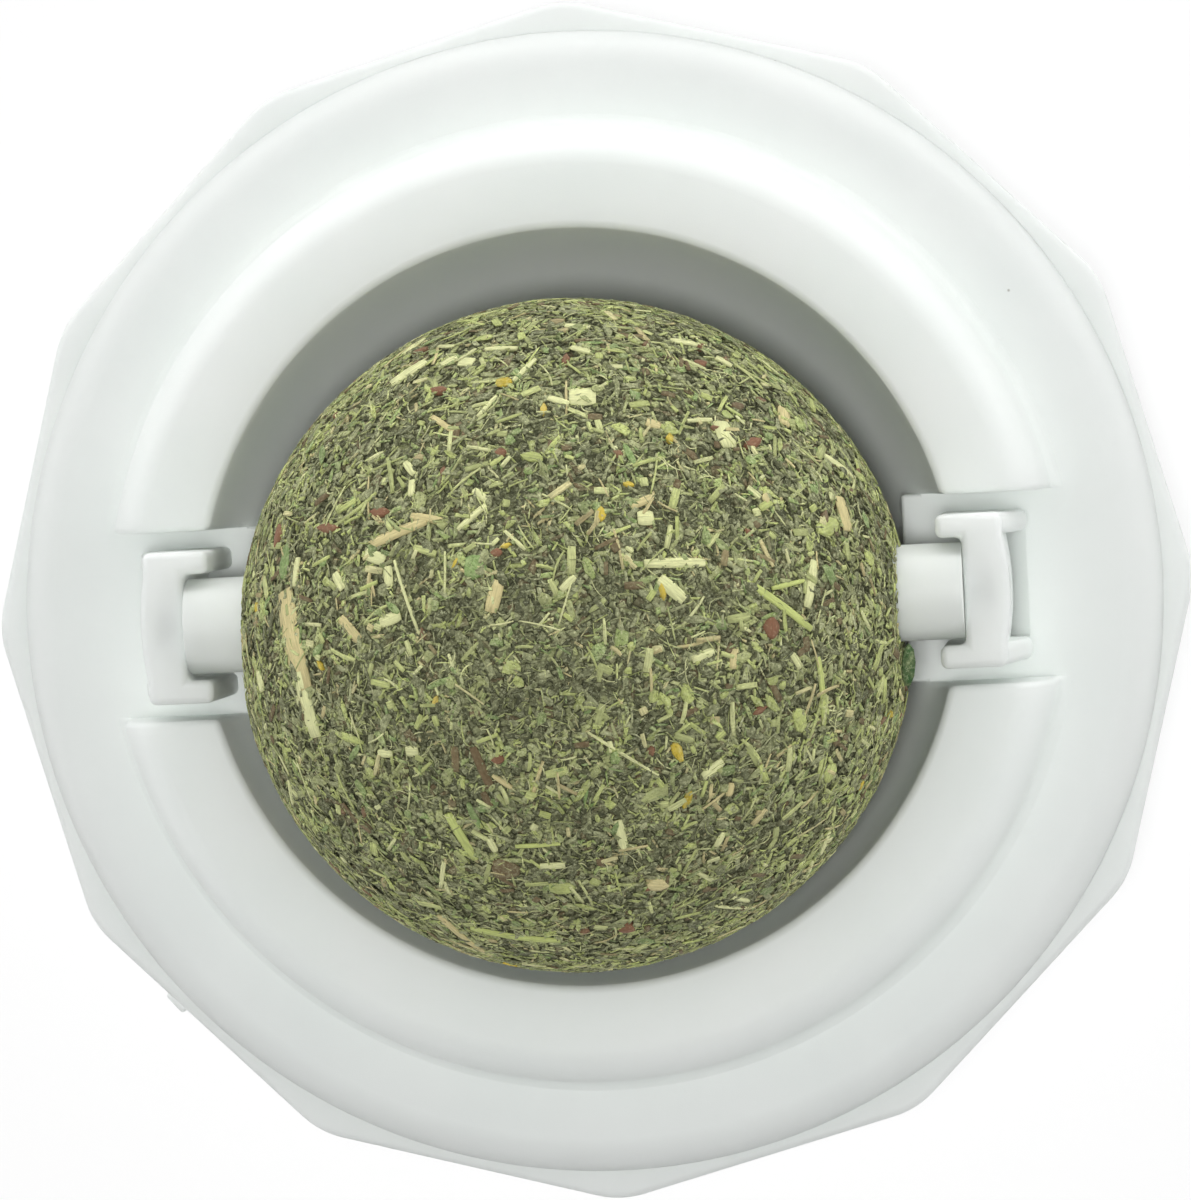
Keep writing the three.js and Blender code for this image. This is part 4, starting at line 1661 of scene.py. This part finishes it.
def stage_world(stage):
    """White all round: full for the camera and for reflections, and brightest low down as lighting."""
    world = bpy.data.worlds.new("white_room")
    world.use_nodes = True
    tree = world.node_tree
    tree.nodes.clear()
    path = tree.nodes.new("ShaderNodeLightPath").outputs
    seen = maths(tree, "MAXIMUM", path["Is Camera Ray"], path["Is Glossy Ray"])
    seen = maths(tree, "MAXIMUM", seen, path["Is Transmission Ray"])
    direction = tree.nodes.new("ShaderNodeTexCoord").outputs["Generated"]
    part = add_node(tree, "ShaderNodeSeparateXYZ", {"Vector": direction}).outputs
    least, most = (stage.horizon * (1 + side * stage.horizon_lean) for side in (-1, 1))
    sideways = spread(tree, part["Y"], -1.0, 1.0, least, most)
    fading = spread(tree, part["Z"], 0.0, stage.horizon_height, 1.0, 0.0)
    low = maths(tree, "MULTIPLY", fading, sideways)
    level = maths(tree, "MAXIMUM", seen, maths(tree, "ADD", low, stage.ambient))
    light = add_node(tree, "ShaderNodeBackground", {"Color": WHITE, "Strength": level})
    end = tree.nodes.new("ShaderNodeOutputWorld")
    tree.links.new(light.outputs[0], end.inputs["Surface"])
    return world


def wall_material(stage):
    """White wall that shows only a share of the shadow on it."""
    material, tree, surface = empty_material("white_wall")
    matt = add_node(tree, "ShaderNodeBsdfDiffuse", {"Color": opaque((stage.wall_shade,) * 3)})
    glow = add_node(tree, "ShaderNodeEmission", {"Color": WHITE, "Strength": stage.wall_glow})
    path = tree.nodes.new("ShaderNodeLightPath").outputs
    shown = maths(tree, "MULTIPLY", path["Is Camera Ray"], 1 - stage.wall_shadow)
    blend = add_node(tree, "ShaderNodeMixShader", {0: shown, 1: matt.outputs[0], 2: glow.outputs[0]})
    tree.links.new(blend.outputs[0], surface)
    return material


class CATNIP_OT_stage(bpy.types.Operator):
    """Sets the camera of the photograph, the lamp, the white room and the wall"""

    bl_idname = "catnip.stage"
    bl_label = "Stage"

    def execute(self, context):
        scene = context.scene
        stage = scene.catnip_stage
        clear_selection()
        place, right, up, forward = camera_axes(stage)
        bpy.ops.object.camera_add()
        camera = bpy.context.object
        camera.name = "photo_camera"
        turn = Matrix((right, up, -forward)).transposed().to_4x4()
        camera.matrix_world = Matrix.Translation(place) @ turn
        camera.data.lens = stage.lens
        camera.data.sensor_width = SENSOR_WIDTH
        camera.data.clip_start = 1 * MM
        scene.camera = camera

        target = Vector((0, 0, AXIS_Z))
        add_lamp("front_lamp", stage.front, stage.front_size, target + Vector(stage.front_place), target)

        scene.world = stage_world(stage)
        scene.view_settings.view_transform = "Standard"
        clear_selection()
        bpy.ops.mesh.primitive_plane_add(size=stage.wall_size, location=(0, 0, -stage.wall_gap))
        wall = bpy.context.object
        wall.name = "wall"
        wall.data.materials.append(wall_material(stage))
        return {"FINISHED"}


class CATNIP_PT_panel(bpy.types.Panel):
    """The toy's pieces in the sidebar"""

    bl_idname = "CATNIP_PT_panel"
    bl_label = "Catnip Ball"
    bl_space_type = "VIEW_3D"
    bl_region_type = "UI"
    bl_category = "Catnip"

    def draw(self, context):
        for operator in BUILD_ORDER:
            self.layout.operator(operator.bl_idname)


BUILD_ORDER = (
    CATNIP_OT_dish,
    CATNIP_OT_base,
    CATNIP_OT_pad,
    CATNIP_OT_axle,
    CATNIP_OT_core,
    CATNIP_OT_leaf,
    CATNIP_OT_stems,
    CATNIP_OT_seeds,
    CATNIP_OT_chips,
    CATNIP_OT_stage,
)

SETTINGS = {
    "catnip_dish": CatnipDishSizes,
    "catnip_base": CatnipBaseSizes,
    "catnip_axle": CatnipAxleSizes,
    "catnip_ball": CatnipBallSizes,
    "catnip_colours": CatnipColours,
    "catnip_stage": CatnipStage,
}


def register():
    """Adds the settings, operators and panel."""
    for name, group in SETTINGS.items():
        bpy.utils.register_class(group)
        setattr(bpy.types.Scene, name, bpy.props.PointerProperty(type=group))
    for cls in (*BUILD_ORDER, CATNIP_PT_panel):
        bpy.utils.register_class(cls)


def unregister():
    """Takes them away again."""
    for cls in (CATNIP_PT_panel, *reversed(BUILD_ORDER)):
        bpy.utils.unregister_class(cls)
    for name, group in SETTINGS.items():
        delattr(bpy.types.Scene, name)
        bpy.utils.unregister_class(group)


def main():
    """Builds every piece."""
    register()
    make_moulding_group()
    make_fibre_group()
    bpy.ops.catnip.dish()
    bpy.ops.catnip.base()
    bpy.ops.catnip.pad()
    bpy.ops.catnip.axle()
    bpy.ops.catnip.core()
    bpy.ops.catnip.leaf()
    bpy.ops.catnip.stems()
    bpy.ops.catnip.seeds()
    bpy.ops.catnip.chips()
    bpy.ops.catnip.stage()


if __name__ == "__main__":
    main()
